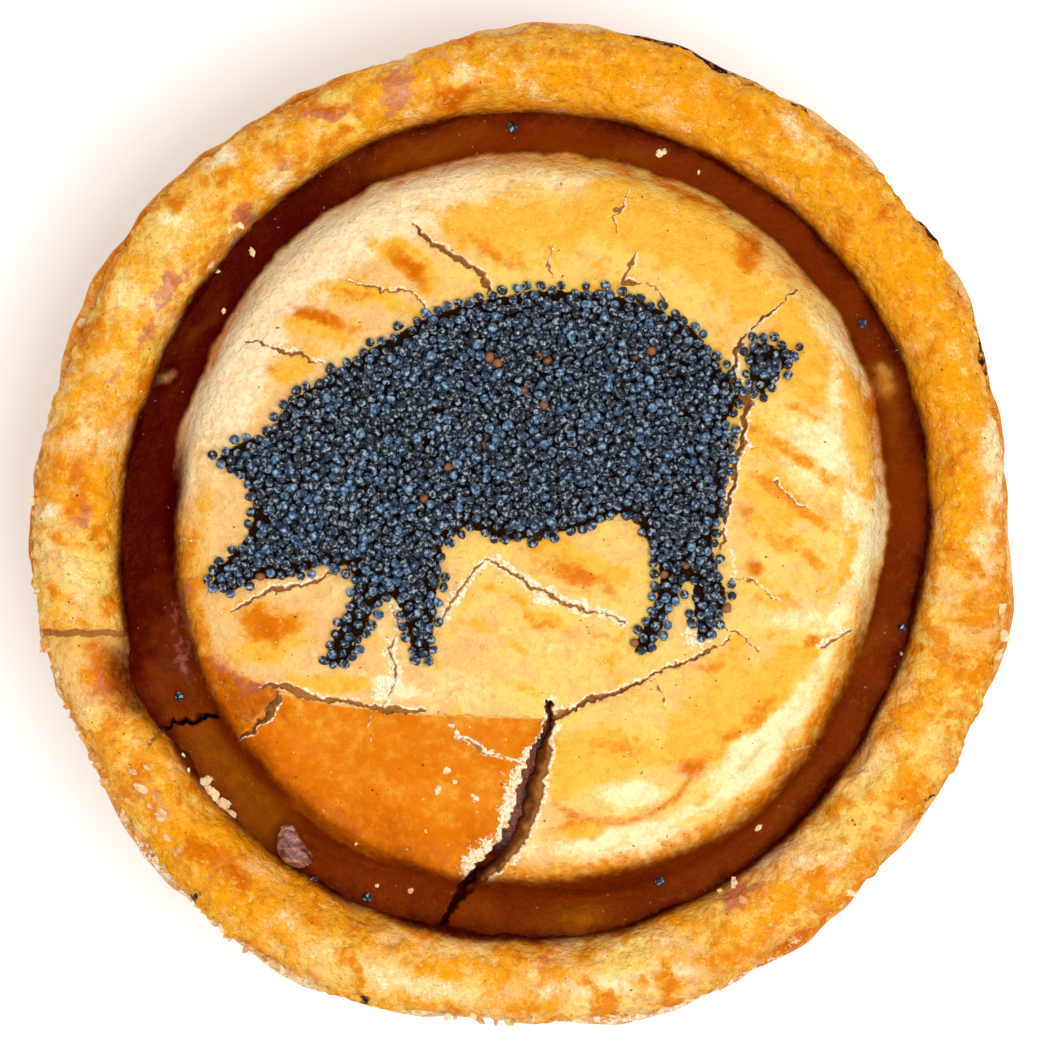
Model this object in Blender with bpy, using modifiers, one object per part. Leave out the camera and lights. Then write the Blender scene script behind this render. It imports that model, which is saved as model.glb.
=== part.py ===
"""A small round bacon pie with a pig of poppy seeds on its lid, built in metres with +Z up.

The origin is the middle of the flat base. +X points to the pig's tail and +Y to its back.
The pie is a pastry case, a lid that is baked onto the case's flange, the filling between them,
and one piece of bacon that has come up through the groove of the lid.
Sizes below are in millimetres, and MM turns them into metres.
"""

import math
import random

import bmesh
import bpy
import numpy as np
from mathutils import Euler, Vector, noise

MM = 0.001

# Driving sizes of the pie.
RIM_RADIUS = 53.0
GROOVE_RADIUS = 43.7
DOME_RADIUS = 38.8
BASE_RADIUS = 41.0
RIM_HEIGHT = 38.0
GROOVE_HEIGHT = 32.0
DOME_HEIGHT = 40.6
SEAM_HEIGHT = 33.4
CUT_TOP = DOME_HEIGHT + 5.0
CRUST = 3.3
GAP = 0.35
ROUND_STEPS = 56
FILLING_STEPS = 32
WELD = 0.001
SHARP_ANGLE = 35.0

# Unevenness of the three rings, each term being (waves round the pie, size, direction of a crest in degrees).
RIM_WAVES = ((1, 0.55, -48), (2, 0.64, 69), (3, 0.31, 58), (4, 0.34, -32), (7, 0.44, -18))
GROOVE_WAVES = ((1, 0.36, -19), (2, 0.73, 68), (4, 0.28, 21))
DOME_WAVES = ((1, 0.91, 4), (2, 0.75, 82), (3, 0.28, 52), (4, 0.45, 32))
RIM_HEIGHT_WAVES = ((2, 0.35, 75), (5, 0.3, 20), (9, 0.25, 7))
CREST_SPREAD = 3.0
FRILL_WAVES = ((5, 0.2, 150), (11, 0.28, 20), (17, 0.22, 50))
EVEN_RADIUS = 18.0
DOME_LUMPS = 0.45
LUMP_SIZE = 11.0
WALL_LUMPS = 0.8
WALL_LUMP_SIZE = 12.0
EDGE_DEPTH = 3.0

# A fold of the lid fills the groove beside the sunken plate.
FOLD_ANGLE = 203.0
FOLD_SPREAD = 9.0
FOLD_RISE = 2.2

# The pig's outline, from the tip of the ear along the back, and its tail, which is a patch by itself.
PIG = (
    (-33.2, 6.9), (-30.3, 9.2), (-27.1, 9.9), (-25.0, 13.2), (-20.2, 16.6), (-16.0, 19.2),
    (-9.6, 22.6), (-3.3, 24.6), (2.5, 25.4), (8.4, 25.1), (14.2, 23.7), (19.0, 20.7),
    (21.4, 17.2), (23.7, 14.1), (22.4, 11.1), (22.6, 7.9), (21.9, 2.6), (20.6, -1.6),
    (21.3, -5.3), (22.4, -7.1), (21.3, -10.0), (20.2, -12.7), (18.1, -12.2), (17.7, -9.0),
    (17.7, -6.3), (15.6, -10.6), (14.2, -13.8), (12.4, -14.3), (11.2, -13.0), (13.1, -9.5),
    (14.2, -5.8), (13.1, -2.1), (11.0, 0.7), (7.3, -0.5), (2.0, -2.1), (-2.2, -2.1),
    (-5.9, -0.8), (-7.8, -2.4), (-8.3, -6.9), (-8.6, -10.1), (-9.3, -14.5), (-11.5, -15.0),
    (-12.3, -12.2), (-13.0, -9.2), (-14.1, -7.9), (-15.8, -10.6), (-17.6, -14.3), (-19.4, -15.6),
    (-21.5, -14.3), (-19.4, -10.1), (-18.1, -6.9), (-18.6, -4.8), (-21.3, -5.0), (-24.4, -6.0),
    (-28.1, -6.3), (-31.3, -7.9), (-33.4, -6.7), (-32.7, -4.2), (-29.7, -1.6), (-28.7, 1.6),
    (-29.4, 4.2), (-31.9, 5.8),
)
TAIL = (
    (23.4, 19.0), (24.8, 20.1), (29.5, 19.3), (29.0, 16.9),
    (26.9, 14.3), (25.5, 12.4), (24.2, 13.8), (23.2, 16.4),
)

# The bed of seeds: a lattice whose peaks are as far apart as the seeds of the real heap.
SEED_SPACING = 1.5
SEED_BED = 0.7
SEED_BUMPS = (0.36, 0.78)
SEED_JITTER = 0.12
BED_ROOT = 1.4
GRAIN_RADIUS = 0.56
GRAIN_SHAPE = (1.15, 1.0, 0.95)
GRAIN_SIZES = (0.9, 1.1)
GRAIN_EVERY = 5.5
GRAIN_SINK = 0.33
SEED_ORDER = 7

# Cracks as routes of (x, y, width), with the height of each crack's floor.
CRACKS = {
    "plate_gap": (20.0, (
        (3.0, -18.6, 0.5), (2.5, -22.2, 0.9), (1.6, -25.6, 2.2), (1.0, -28.4, 2.5),
        (-0.2, -32.0, 2.4), (-2.2, -35.2, 2.2), (-5.4, -38.0, 1.5), (-7.3, -40.2, 1.0), (-8.6, -42.6, 0.4),
    )),
    "plate_step": (37.4, (
        (-30.4, -16.0, 0.3), (-26.0, -17.3, 0.6), (-20.2, -18.5, 0.9),
        (-14.4, -19.4, 0.8), (-10.0, -19.7, 0.4),
    )),
    "plate_side": (34.5, ((-25.6, -17.4, 0.5), (-27.4, -20.1, 0.9), (-30.2, -22.9, 0.5))),
    "middle": (38.4, (
        (2.6, -20.4, 0.9), (7.3, -18.5, 0.8), (12.6, -16.4, 0.6), (18.9, -13.8, 0.4), (22.1, -12.0, 0.3),
    )),
    "rump": (38.2, (
        (29.2, 24.7, 0.3), (25.6, 21.6, 0.4), (22.6, 19.0, 0.6), (22.4, 16.2, 0.7),
        (24.4, 12.9, 1.2), (23.6, 10.2, 0.8), (22.7, 2.6, 0.5), (21.4, -2.6, 0.3),
    )),
    "back": (38.3, ((-11.2, 31.7, 0.3), (-8.6, 29.6, 0.6), (-5.4, 27.8, 0.8), (-3.6, 24.4, 0.5))),
    "belly": (38.8, ((11.0, -10.3, 0.4), (4.1, -7.7, 0.6), (-0.1, -5.8, 0.5), (-3.6, -3.5, 0.4))),
    "groove": (30.0, ((-39.9, -23.4, 0.3), (-37.7, -20.9, 0.7), (-35.0, -20.6, 0.8), (-32.2, -20.0, 0.5))),
    "rim_seam": (36.4, ((-41.0, -11.3, 0.4), (-46.0, -11.3, 0.5), (-54.0, -11.3, 1.1))),
}

# The plate of the lid that sank: its outline, and its plane as height at the origin and slopes along X and Y.
PLATE = (
    (-29.9, -22.7), (-25.8, -17.7), (-20.2, -18.9), (-10.7, -20.0), (2.4, -20.4), (1.0, -26.0),
    (-2.2, -34.9), (-6.4, -39.0), (-15.0, -39.0), (-24.6, -33.6), (-27.6, -28.6),
)
PLATE_PLANE = (43.8, 0.077, 0.228)

# Lumps and flakes that stand on the lid: place as (x, y), half sizes, and turn about Z in degrees.
LUMPS = {
    "drip": ((-37.6, 15.6), (1.6, 1.0, 0.8), 60),
    "groove_flake": ((-32.6, -28.9), (1.7, 0.9, 0.7), 40),
    "plate_curl": ((-24.4, -20.2), (1.5, 0.7, 0.9), 62),
    "gap_crumb": ((5.0, -22.4), (1.0, 0.7, 0.9), 15),
    "rim_flake": ((-29.8, 33.2), (1.6, 0.9, 0.6), 130),
}
LUMP_SINK = 0.3

# The piece of bacon: its middle, its half sizes, its turn about Z and its tilt, in degrees.
BACON_MIDDLE = (-24.3, -34.3, 33.7)
BACON_HALF = (2.7, 1.6, 1.5)
BACON_TURN = -57.0
BACON_TILT = 14.0
BACON_LUMPS = (0.22, 1.7)

# Colours as seen, with roughness, for each piece's material.
FINISHES = {
    "pastry_lid": ((0.83, 0.49, 0.16), 0.45),
    "poppy_seeds": ((0.06, 0.09, 0.15), 0.55),
    "pastry_case": ((0.72, 0.42, 0.16), 0.7),
    "filling": ((0.25, 0.1, 0.04), 0.5),
    "bacon_piece": ((0.36, 0.14, 0.12), 0.4),
}


def ripple(angle, waves):
    """The sum of the waves at this angle, in radians, round the pie."""
    return sum(size * math.cos(count * (angle - math.radians(crest))) for count, size, crest in waves)


def ring_radii(angle):
    """Radii at this angle of the even middle, the dome's foot, the groove's outer wall and the rim."""
    return (
        0.0,
        EVEN_RADIUS,
        DOME_RADIUS + ripple(angle, DOME_WAVES),
        GROOVE_RADIUS + ripple(angle, GROOVE_WAVES),
        RIM_RADIUS + ripple(angle, RIM_WAVES),
    )


PLAIN_RADII = (0.0, EVEN_RADIUS, DOME_RADIUS, GROOVE_RADIUS, RIM_RADIUS)


def lid_top_profile():
    """(radius, height) down the lid's upper side, from the middle to the rim's outer edge."""
    groove_middle = (DOME_RADIUS + GROOVE_RADIUS) / 2
    return (
        (0.0, DOME_HEIGHT),
        (9.0, DOME_HEIGHT - 0.1),
        (EVEN_RADIUS, DOME_HEIGHT - 0.5),
        (25.0, DOME_HEIGHT - 1.1),
        (31.0, DOME_HEIGHT - 2.1),
        (34.5, DOME_HEIGHT - 3.2),
        (DOME_RADIUS - 1.9, DOME_HEIGHT - 4.9),
        (DOME_RADIUS - 0.5, DOME_HEIGHT - 7.0),
        (DOME_RADIUS + 0.5, GROOVE_HEIGHT + 0.3),
        (groove_middle, GROOVE_HEIGHT),
        (GROOVE_RADIUS - 0.5, GROOVE_HEIGHT + 0.5),
        (GROOVE_RADIUS + 0.3, GROOVE_HEIGHT + 2.4),
        (GROOVE_RADIUS + 1.3, RIM_HEIGHT - 1.6),
        (GROOVE_RADIUS + 3.0, RIM_HEIGHT - 0.4),
        (GROOVE_RADIUS + 5.2, RIM_HEIGHT),
        (RIM_RADIUS - 2.2, RIM_HEIGHT - 0.9),
        (RIM_RADIUS - 0.9, RIM_HEIGHT - 2.4),
        (RIM_RADIUS - 0.5, RIM_HEIGHT - 3.8),
    )


def lid_under_profile():
    """(radius, height) of the lid's underside, from the rim back to the middle."""
    return (
        (RIM_RADIUS - 0.9, SEAM_HEIGHT),
        (GROOVE_RADIUS + 1.9, SEAM_HEIGHT),
        (GROOVE_RADIUS + 0.2, GROOVE_HEIGHT - CRUST + 0.4),
        (DOME_RADIUS - 0.4, GROOVE_HEIGHT - CRUST),
        (DOME_RADIUS - 3.6, DOME_HEIGHT - CRUST - 3.2),
        (EVEN_RADIUS, DOME_HEIGHT - CRUST - 0.7),
        (0.0, DOME_HEIGHT - CRUST),
    )


def relief(x, y):
    """How far the lid's upper side stands above its plain profile: the rim's waves, the fold and low lumps."""
    radius = math.hypot(x, y)
    angle = math.atan2(y, x)
    plain = np.interp(radius, ring_radii(angle), PLAIN_RADII)
    crest, groove_middle = RIM_RADIUS - 4.5, (DOME_RADIUS + GROOVE_RADIUS) / 2
    rim_share = math.exp(-(((plain - crest) / CREST_SPREAD) ** 2))
    groove_share = math.exp(-(((plain - groove_middle) / CREST_SPREAD) ** 2))
    turn = math.remainder(angle - math.radians(FOLD_ANGLE), 2 * math.pi)
    fold = math.exp(-((math.degrees(turn) / FOLD_SPREAD) ** 2))
    lumps = noise.noise(Vector((x, y, 0.0)) / LUMP_SIZE) * DOME_LUMPS
    return ripple(angle, RIM_HEIGHT_WAVES) * rim_share + FOLD_RISE * fold * groove_share + lumps


def lid_height(x, y):
    """Height of the lid's upper side, before it cracked."""
    plain = np.interp(math.hypot(x, y), ring_radii(math.atan2(y, x)), PLAIN_RADII)
    radii, heights = zip(*lid_top_profile())
    return float(np.interp(plain, radii, heights)) + relief(x, y)


def clear_scene():
    for obj in list(bpy.data.objects):
        bpy.data.objects.remove(obj)


def new_collection(name):
    collection = bpy.data.collections.new(name)
    bpy.context.scene.collection.children.link(collection)
    return collection


def material(name):
    colour, roughness = FINISHES[name]
    made = bpy.data.materials.new(name)
    made.use_nodes = True
    shader = made.node_tree.nodes["Principled BSDF"]
    shader.inputs["Base Color"].default_value = (*colour, 1.0)
    shader.inputs["Roughness"].default_value = roughness
    made.diffuse_color = (*colour, 1.0)
    return made


def link_mesh(name, mesh, collection):
    obj = bpy.data.objects.new(name, mesh)
    collection.objects.link(obj)
    return obj


def applied(obj, collection):
    """Replaces an object by the plain mesh that its modifiers or its curve give, in world space."""
    bpy.context.view_layer.update()
    evaluated = obj.evaluated_get(bpy.context.evaluated_depsgraph_get())
    mesh = bpy.data.meshes.new_from_object(evaluated)
    mesh.transform(obj.matrix_world)
    name = obj.name
    bpy.data.objects.remove(obj)
    body = bmesh.new()
    body.from_mesh(mesh)
    bmesh.ops.remove_doubles(body, verts=body.verts, dist=WELD * MM)
    body.to_mesh(mesh)
    body.free()
    return link_mesh(name, mesh, collection)


def turned(name, profile, steps, collection):
    """A solid turned from a profile of (radius, height) that starts and ends on the axis."""
    mesh = bpy.data.meshes.new(name)
    points = [(radius * MM, 0.0, height * MM) for radius, height in profile]
    mesh.from_pydata(points, [(i, i + 1) for i in range(len(points) - 1)], [])
    obj = link_mesh(name, mesh, collection)
    screw = obj.modifiers.new("turn", "SCREW")
    screw.steps = screw.render_steps = steps
    screw.use_merge_vertices = True
    screw.merge_threshold = WELD * MM
    return applied(obj, collection)


def make_uneven(obj):
    """Moves each point in or out, so that the three rings get their waves."""
    for vertex in obj.data.vertices:
        angle = math.atan2(vertex.co.y, vertex.co.x)
        radius = vertex.co.xy.length / MM
        if radius > 0.01:
            factor = float(np.interp(radius, PLAIN_RADII, ring_radii(angle))) / radius
            vertex.co.x *= factor
            vertex.co.y *= factor


def prism(name, outlines, bottom, top, collection):
    """Upright solids with these outlines, as one object."""
    curve = bpy.data.curves.new(name, "CURVE")
    curve.dimensions = "2D"
    curve.fill_mode = "BOTH"
    curve.extrude = (top - bottom) / 2 * MM
    for outline in outlines:
        spline = curve.splines.new("POLY")
        spline.points.add(len(outline) - 1)
        for point, (x, y) in zip(spline.points, outline):
            point.co = (x * MM, y * MM, 0.0, 1.0)
        spline.use_cyclic_u = True
    obj = bpy.data.objects.new(name, curve)
    obj.location.z = (top + bottom) / 2 * MM
    collection.objects.link(obj)
    return applied(obj, collection)


def crack_outline(route):
    """The outline of a crack that follows the route's points with their widths."""
    left, right = [], []
    for i, (x, y, width) in enumerate(route):
        before = Vector(route[max(i - 1, 0)][:2])
        after = Vector(route[min(i + 1, len(route) - 1)][:2])
        side = (after - before).normalized().orthogonal() * width / 2
        left.append((x + side.x, y + side.y))
        right.append((x - side.x, y - side.y))
    return left + right[::-1]


def plate_height(x, y):
    """Height of the sunken plate's plane."""
    height, slope_x, slope_y = PLATE_PLANE
    return height + slope_x * x + slope_y * y


def plate_cutter(collection):
    """What lies above the sunken plate: an upright solid whose floor is the plate's plane."""
    obj = prism("plate_cutter", [PLATE], GROOVE_HEIGHT, CUT_TOP, collection)
    for vertex in obj.data.vertices:
        if vertex.co.z < DOME_HEIGHT * MM:
            vertex.co.z = plate_height(vertex.co.x / MM, vertex.co.y / MM) * MM


def boolean(obj, operation, collection, solver):
    modifier = obj.modifiers.new(operation.lower(), "BOOLEAN")
    modifier.operation = operation
    modifier.operand_type = "COLLECTION"
    modifier.collection = collection
    modifier.solver = solver


def empty_collection(collection):
    for obj in list(collection.objects):
        bpy.data.objects.remove(obj)


def seed_block(draw, collection):
    """A thick sheet on the dome whose upper side is a lattice with a bump for each seed."""
    xs, ys = zip(*(PIG + TAIL))
    step = SEED_SPACING / math.sqrt(3)
    row = step * math.sqrt(3) / 2
    columns = math.ceil((max(xs) - min(xs)) / step) + 2
    rows = math.ceil((max(ys) - min(ys)) / row) + 2
    body = bmesh.new()
    bmesh.ops.create_grid(body, x_segments=columns, y_segments=rows, size=0.5)
    lift = {}
    for vertex in body.verts:
        i = round((vertex.co.x + 0.5) * columns)
        j = round((vertex.co.y + 0.5) * rows)
        x = min(xs) - step + (i + 0.5 * (j % 2)) * step
        y = min(ys) - row + j * row
        peak = (i - j // 2 - j) % 3 == 0
        if peak:
            x += draw.uniform(-SEED_JITTER, SEED_JITTER)
            y += draw.uniform(-SEED_JITTER, SEED_JITTER)
        lift[vertex.index] = SEED_BED + peak * draw.uniform(*SEED_BUMPS)
        vertex.co = (x * MM, y * MM, 0.0)
    body.verts.ensure_lookup_table()
    bmesh.ops.triangulate(body, faces=body.faces, quad_method="SHORT_EDGE")
    raised = list(body.verts)
    below = bmesh.ops.extrude_face_region(body, geom=list(body.faces))
    for vertex in raised:
        vertex.co.z = (lid_height(vertex.co.x / MM, vertex.co.y / MM) + lift[vertex.index]) * MM
    for vertex in (item for item in below["geom"] if isinstance(item, bmesh.types.BMVert)):
        vertex.co.z = (lid_height(vertex.co.x / MM, vertex.co.y / MM) - BED_ROOT) * MM
    bmesh.ops.recalc_face_normals(body, faces=body.faces)
    mesh = bpy.data.meshes.new("seed_bed")
    body.to_mesh(mesh)
    body.free()
    return link_mesh("seed_bed", mesh, collection)


def outline_places(outline, every):
    """Points at even distances round a closed outline."""
    places = []
    left = 0.0
    for start, end in zip(outline, outline[1:] + outline[:1]):
        start, end = Vector(start), Vector(end)
        length = (end - start).length
        while left < length:
            places.append(start.lerp(end, left / length))
            left += every
        left -= length
    return places


def grain(place, draw, collection):
    """One loose seed at the edge of the heap, sunk a little into the pastry and the bed."""
    mesh = bpy.data.meshes.new("grain")
    body = bmesh.new()
    bmesh.ops.create_icosphere(body, subdivisions=1, radius=GRAIN_RADIUS * MM)
    body.to_mesh(mesh)
    body.free()
    obj = link_mesh("grain", mesh, collection)
    obj.scale = Vector(GRAIN_SHAPE) * draw.uniform(*GRAIN_SIZES)
    obj.rotation_euler = Euler([draw.uniform(0.0, math.pi) for _ in range(3)])
    height = lid_height(place.x, place.y) + GRAIN_RADIUS - GRAIN_SINK
    obj.location = Vector((place.x, place.y, height)) * MM
    return obj


def make_seeds(collection, cutters):
    """The pig and its tail: the bumpy bed cut to their outlines, and loose grains along the edges."""
    draw = random.Random(SEED_ORDER)
    bed = seed_block(draw, collection)
    prism("outlines", [PIG, TAIL], GROOVE_HEIGHT, CUT_TOP, cutters)
    boolean(bed, "INTERSECT", cutters, "EXACT")
    bed = applied(bed, collection)
    empty_collection(cutters)
    for place in outline_places(PIG, GRAIN_EVERY) + outline_places(TAIL, GRAIN_EVERY):
        grain(place, draw, collection)
    seeds = material("poppy_seeds")
    for obj in collection.objects:
        obj.data.materials.clear()
        obj.data.materials.append(seeds)


def add_lumps(collection):
    """The lumps and flakes that are baked onto the lid."""
    for name, ((x, y), halves, turn) in LUMPS.items():
        mesh = bpy.data.meshes.new(name)
        body = bmesh.new()
        bmesh.ops.create_icosphere(body, subdivisions=1, radius=MM)
        body.to_mesh(mesh)
        body.free()
        obj = link_mesh(name, mesh, collection)
        obj.scale = halves
        obj.rotation_euler.z = math.radians(turn)
        height = min(lid_height(x, y), plate_height(x, y)) + halves[2] * LUMP_SINK
        obj.location = Vector((x, y, height)) * MM


def bacon_shape(name, grow, collection):
    """The piece of bacon as an uneven lump, made larger all round by grow."""
    mesh = bpy.data.meshes.new(name)
    body = bmesh.new()
    bmesh.ops.create_icosphere(body, subdivisions=2, radius=1.0)
    depth, density = BACON_LUMPS
    for vertex in body.verts:
        size = 1.0 + depth * noise.noise(vertex.co * density)
        vertex.co = Vector([co * (half * size + grow) * MM for co, half in zip(vertex.co, BACON_HALF)])
    body.to_mesh(mesh)
    body.free()
    obj = link_mesh(name, mesh, collection)
    obj.rotation_euler = Euler((0.0, math.radians(BACON_TILT), math.radians(BACON_TURN)))
    obj.location = Vector(BACON_MIDDLE) * MM
    return obj


def make_lid(parts, pieces, cutters):
    lid = turned("pastry_lid", lid_top_profile() + lid_under_profile(), ROUND_STEPS, parts)
    make_uneven(lid)
    radii, heights = zip(*lid_under_profile()[::-1])
    for vertex in lid.data.vertices:
        x, y, z = vertex.co / MM
        plain = np.interp(math.hypot(x, y), ring_radii(math.atan2(y, x)), PLAIN_RADII)
        if z > np.interp(plain, radii, heights) + CRUST / 2:
            vertex.co.z += relief(x, y) * MM
    plate_cutter(cutters)
    boolean(lid, "DIFFERENCE", cutters, "EXACT")
    lid = applied(lid, parts)
    empty_collection(cutters)
    for name, (floor, route) in CRACKS.items():
        prism(name, [crack_outline(route)], floor, CUT_TOP, cutters)
    bacon_shape("bacon_pocket", GAP, cutters)
    boolean(lid, "DIFFERENCE", cutters, "EXACT")
    lid = applied(lid, parts)
    empty_collection(cutters)
    lid.data.materials.append(material("pastry_lid"))
    make_seeds(pieces, cutters)
    add_lumps(pieces)
    boolean(lid, "UNION", pieces, "MANIFOLD")
    lid = applied(lid, parts)
    empty_collection(pieces)
    return lid


def roughen(case):
    """Gives the outside of the case low lumps, and its thin edge a frill."""
    for vertex in case.data.vertices:
        radius = vertex.co.xy.length
        outwards = vertex.co.x * vertex.normal.x + vertex.co.y * vertex.normal.y > 0.3 * radius
        if outwards and vertex.co.z > MM:
            lump = noise.noise(vertex.co / (WALL_LUMP_SIZE * MM)) * WALL_LUMPS
            if vertex.co.z > (SEAM_HEIGHT - EDGE_DEPTH) * MM:
                lump = ripple(math.atan2(vertex.co.y, vertex.co.x), FRILL_WAVES)
            vertex.co.x *= 1 + lump * MM / radius
            vertex.co.y *= 1 + lump * MM / radius


def make_case(parts):
    """The pastry case: a cup with a flat base, sloping wall and a flange that carries the lid's rim."""
    flange_top = SEAM_HEIGHT - GAP
    profile = (
        (0.0, CRUST),
        (BASE_RADIUS - CRUST - 0.6, CRUST),
        (BASE_RADIUS - CRUST + 0.8, CRUST + 1.2),
        (GROOVE_RADIUS + 0.9, GROOVE_HEIGHT - CRUST + 0.3),
        (GROOVE_RADIUS + 2.5, flange_top),
        (RIM_RADIUS - 0.5, flange_top),
        (RIM_RADIUS, flange_top - 1.1),
        (RIM_RADIUS - 0.7, flange_top - 2.6),
        (GROOVE_RADIUS + 5.4, flange_top - 4.0),
        (GROOVE_RADIUS + 4.0, flange_top - 6.0),
        (GROOVE_RADIUS + 2.2, 19.0),
        (GROOVE_RADIUS + 0.4, 11.0),
        (BASE_RADIUS + 1.0, 2.0),
        (BASE_RADIUS - 0.8, 0.0),
        (0.0, 0.0),
    )
    case = turned("pastry_case", profile, ROUND_STEPS, parts)
    make_uneven(case)
    roughen(case)
    case.data.materials.append(material("pastry_case"))


def make_filling(parts):
    """The filling, which shows through the gap beside the sunken plate and fills the case."""
    profile = (
        (0.0, DOME_HEIGHT - CRUST - GAP),
        (EVEN_RADIUS, DOME_HEIGHT - CRUST - 0.7 - GAP),
        (DOME_RADIUS - 4.2, DOME_HEIGHT - CRUST - 3.6 - GAP),
        (DOME_RADIUS - 0.9, GROOVE_HEIGHT - CRUST - GAP),
        (GROOVE_RADIUS + 0.1, GROOVE_HEIGHT - CRUST - GAP),
        (BASE_RADIUS - CRUST + 0.3, CRUST + 1.4 + GAP),
        (BASE_RADIUS - CRUST - 1.0, CRUST + GAP),
        (0.0, CRUST + GAP),
    )
    filling = turned("filling", profile, FILLING_STEPS, parts)
    make_uneven(filling)
    filling.data.materials.append(material("filling"))


def make_bacon(parts):
    bacon = bacon_shape("bacon_piece", 0.0, parts)
    bacon.data.materials.append(material("bacon_piece"))


def main():
    clear_scene()
    parts = new_collection("bacon_pie")
    pieces = new_collection("seed_pieces")
    cutters = new_collection("cutters")
    make_lid(parts, pieces, cutters)
    make_case(parts)
    make_filling(parts)
    make_bacon(parts)
    for obj in parts.objects:
        obj.data.shade_smooth()
        obj.data.set_sharp_from_angle(angle=math.radians(SHARP_ANGLE))


main()
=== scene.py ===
import math
import random

import bmesh
import bpy
import numpy as np
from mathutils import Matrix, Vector
from mathutils.bvhtree import BVHTree


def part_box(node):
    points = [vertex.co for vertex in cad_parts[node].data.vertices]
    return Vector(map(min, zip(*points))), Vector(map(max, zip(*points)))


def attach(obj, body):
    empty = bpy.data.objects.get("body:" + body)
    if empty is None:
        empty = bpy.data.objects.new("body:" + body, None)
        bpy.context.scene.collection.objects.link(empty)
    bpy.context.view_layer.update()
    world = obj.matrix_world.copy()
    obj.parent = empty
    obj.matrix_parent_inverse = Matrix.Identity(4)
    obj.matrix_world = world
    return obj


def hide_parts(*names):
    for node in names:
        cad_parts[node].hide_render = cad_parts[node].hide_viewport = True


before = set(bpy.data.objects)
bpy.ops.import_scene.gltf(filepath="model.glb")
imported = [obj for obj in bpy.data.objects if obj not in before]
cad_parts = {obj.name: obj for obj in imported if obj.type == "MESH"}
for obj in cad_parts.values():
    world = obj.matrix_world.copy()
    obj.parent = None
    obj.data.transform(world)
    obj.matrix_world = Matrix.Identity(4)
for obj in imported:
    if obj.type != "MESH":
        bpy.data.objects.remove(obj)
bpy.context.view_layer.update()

mm = 0.001
photo = {"middle": (521, 525), "pixelsPerMm": 9.45, "width": 1050}   # where the pie's axis is, and its scale

caseLow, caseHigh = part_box("pastry_case")
pie = {
    "rim": (caseHigh[0] - caseLow[0] + caseHigh[1] - caseLow[1]) / 4 / mm,
    "groove": 43.7,
    "dome": 38.8,
    "base": 41.0,
    "evenRadius": 18.0,
    "rimHeight": 38.0,
    "grooveHeight": 32.0,
    "domeHeight": 40.6,
    "seam": caseHigh[2] / mm + 0.35,
    "crust": 3.3,
    "gap": 0.35,
    # waves of each ring: how many round the pie, their size in mm, and the direction of a crest
    "rimWaves": ((1, 0.55, -48), (2, 0.64, 69), (3, 0.31, 58), (4, 0.34, -32), (7, 0.44, -18)),
    "grooveWaves": ((1, 0.36, -19), (2, 0.73, 68), (4, 0.28, 21)),
    "domeWaves": ((1, 0.91, 4), (2, 0.75, 82), (3, 0.28, 52), (4, 0.45, 32)),
    "rimHeightWaves": ((2, 0.35, 75), (5, 0.3, 20), (9, 0.25, 7)),
    "frillWaves": ((5, 0.2, 150), (11, 0.28, 20), (17, 0.22, 50)),
    "crestSpread": 3.0,
    "fold": (203.0, 9.0, 2.2),
}

# outlines and routes, in pixels of the photograph
pigOutline = (
    (207, 460), (235, 438), (265, 431), (285, 400), (330, 368), (370, 344), (430, 311), (490, 293),
    (545, 285), (600, 288), (655, 301), (701, 329), (723, 362), (745, 392), (733, 420), (735, 450),
    (728, 500), (716, 540), (722, 575), (733, 592), (722, 620), (712, 645), (692, 640), (688, 610),
    (688, 585), (668, 625), (655, 655), (638, 660), (627, 648), (645, 615), (655, 580), (645, 545),
    (625, 518), (590, 530), (540, 545), (500, 545), (465, 533), (447, 548), (443, 590), (440, 620),
    (433, 662), (412, 667), (405, 640), (398, 612), (388, 600), (372, 625), (355, 660), (338, 672),
    (318, 660), (338, 620), (350, 590), (345, 570), (320, 572), (290, 582), (255, 585), (225, 600),
    (205, 588), (212, 565), (240, 540), (250, 510), (243, 485), (220, 470),
)
tailOutline = ((742, 345), (755, 335), (800, 343), (795, 365), (775, 390), (762, 408), (750, 395), (740, 370))
plateOutline = (
    (238, 740), (277, 692), (330, 704), (420, 714), (544, 718), (530, 771),
    (500, 855), (461, 894), (379, 894), (289, 843), (260, 795),
)
flapOutline = ((196, 648), (235, 672), (283, 690), (262, 715), (238, 741), (222, 724), (205, 690))
platePlane = (43.8, 0.077, 0.228)   # the sunken plate's height in mm at the axis, and its slopes


def fromPhoto(points):
    # pixels to millimetres; a third value is a width in pixels
    middleX, middleY = photo["middle"]
    scale = photo["pixelsPerMm"]
    return np.array([((p[0] - middleX) / scale, (middleY - p[1]) / scale, *(w / scale for w in p[2:]))
                     for p in points])


def placed(x, y, middle, turn):
    # distances from a shape's middle, along and across the shape, which is turned by some degrees
    c, s = math.cos(math.radians(turn)), math.sin(math.radians(turn))
    return (x - middle[0]) * c + (y - middle[1]) * s, -(x - middle[0]) * s + (y - middle[1]) * c


def latticeNoise(u, v, seed, wrap=256):
    # smooth noise from -1 to 1 on whole-number cells, repeating after wrap cells along u
    lattice = np.random.default_rng(seed).uniform(-1, 1, (wrap, 256))
    i, j = np.floor(u).astype(int), np.floor(v).astype(int)
    a, b = u - i, v - j
    a, b = a * a * (3 - 2 * a), b * b * (3 - 2 * b)
    i0, i1, j0, j1 = i % wrap, (i + 1) % wrap, j % 256, (j + 1) % 256
    low = lattice[i0, j0] * (1 - a) + lattice[i1, j0] * a
    high = lattice[i0, j1] * (1 - a) + lattice[i1, j1] * a
    return low * (1 - b) + high * b


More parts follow.
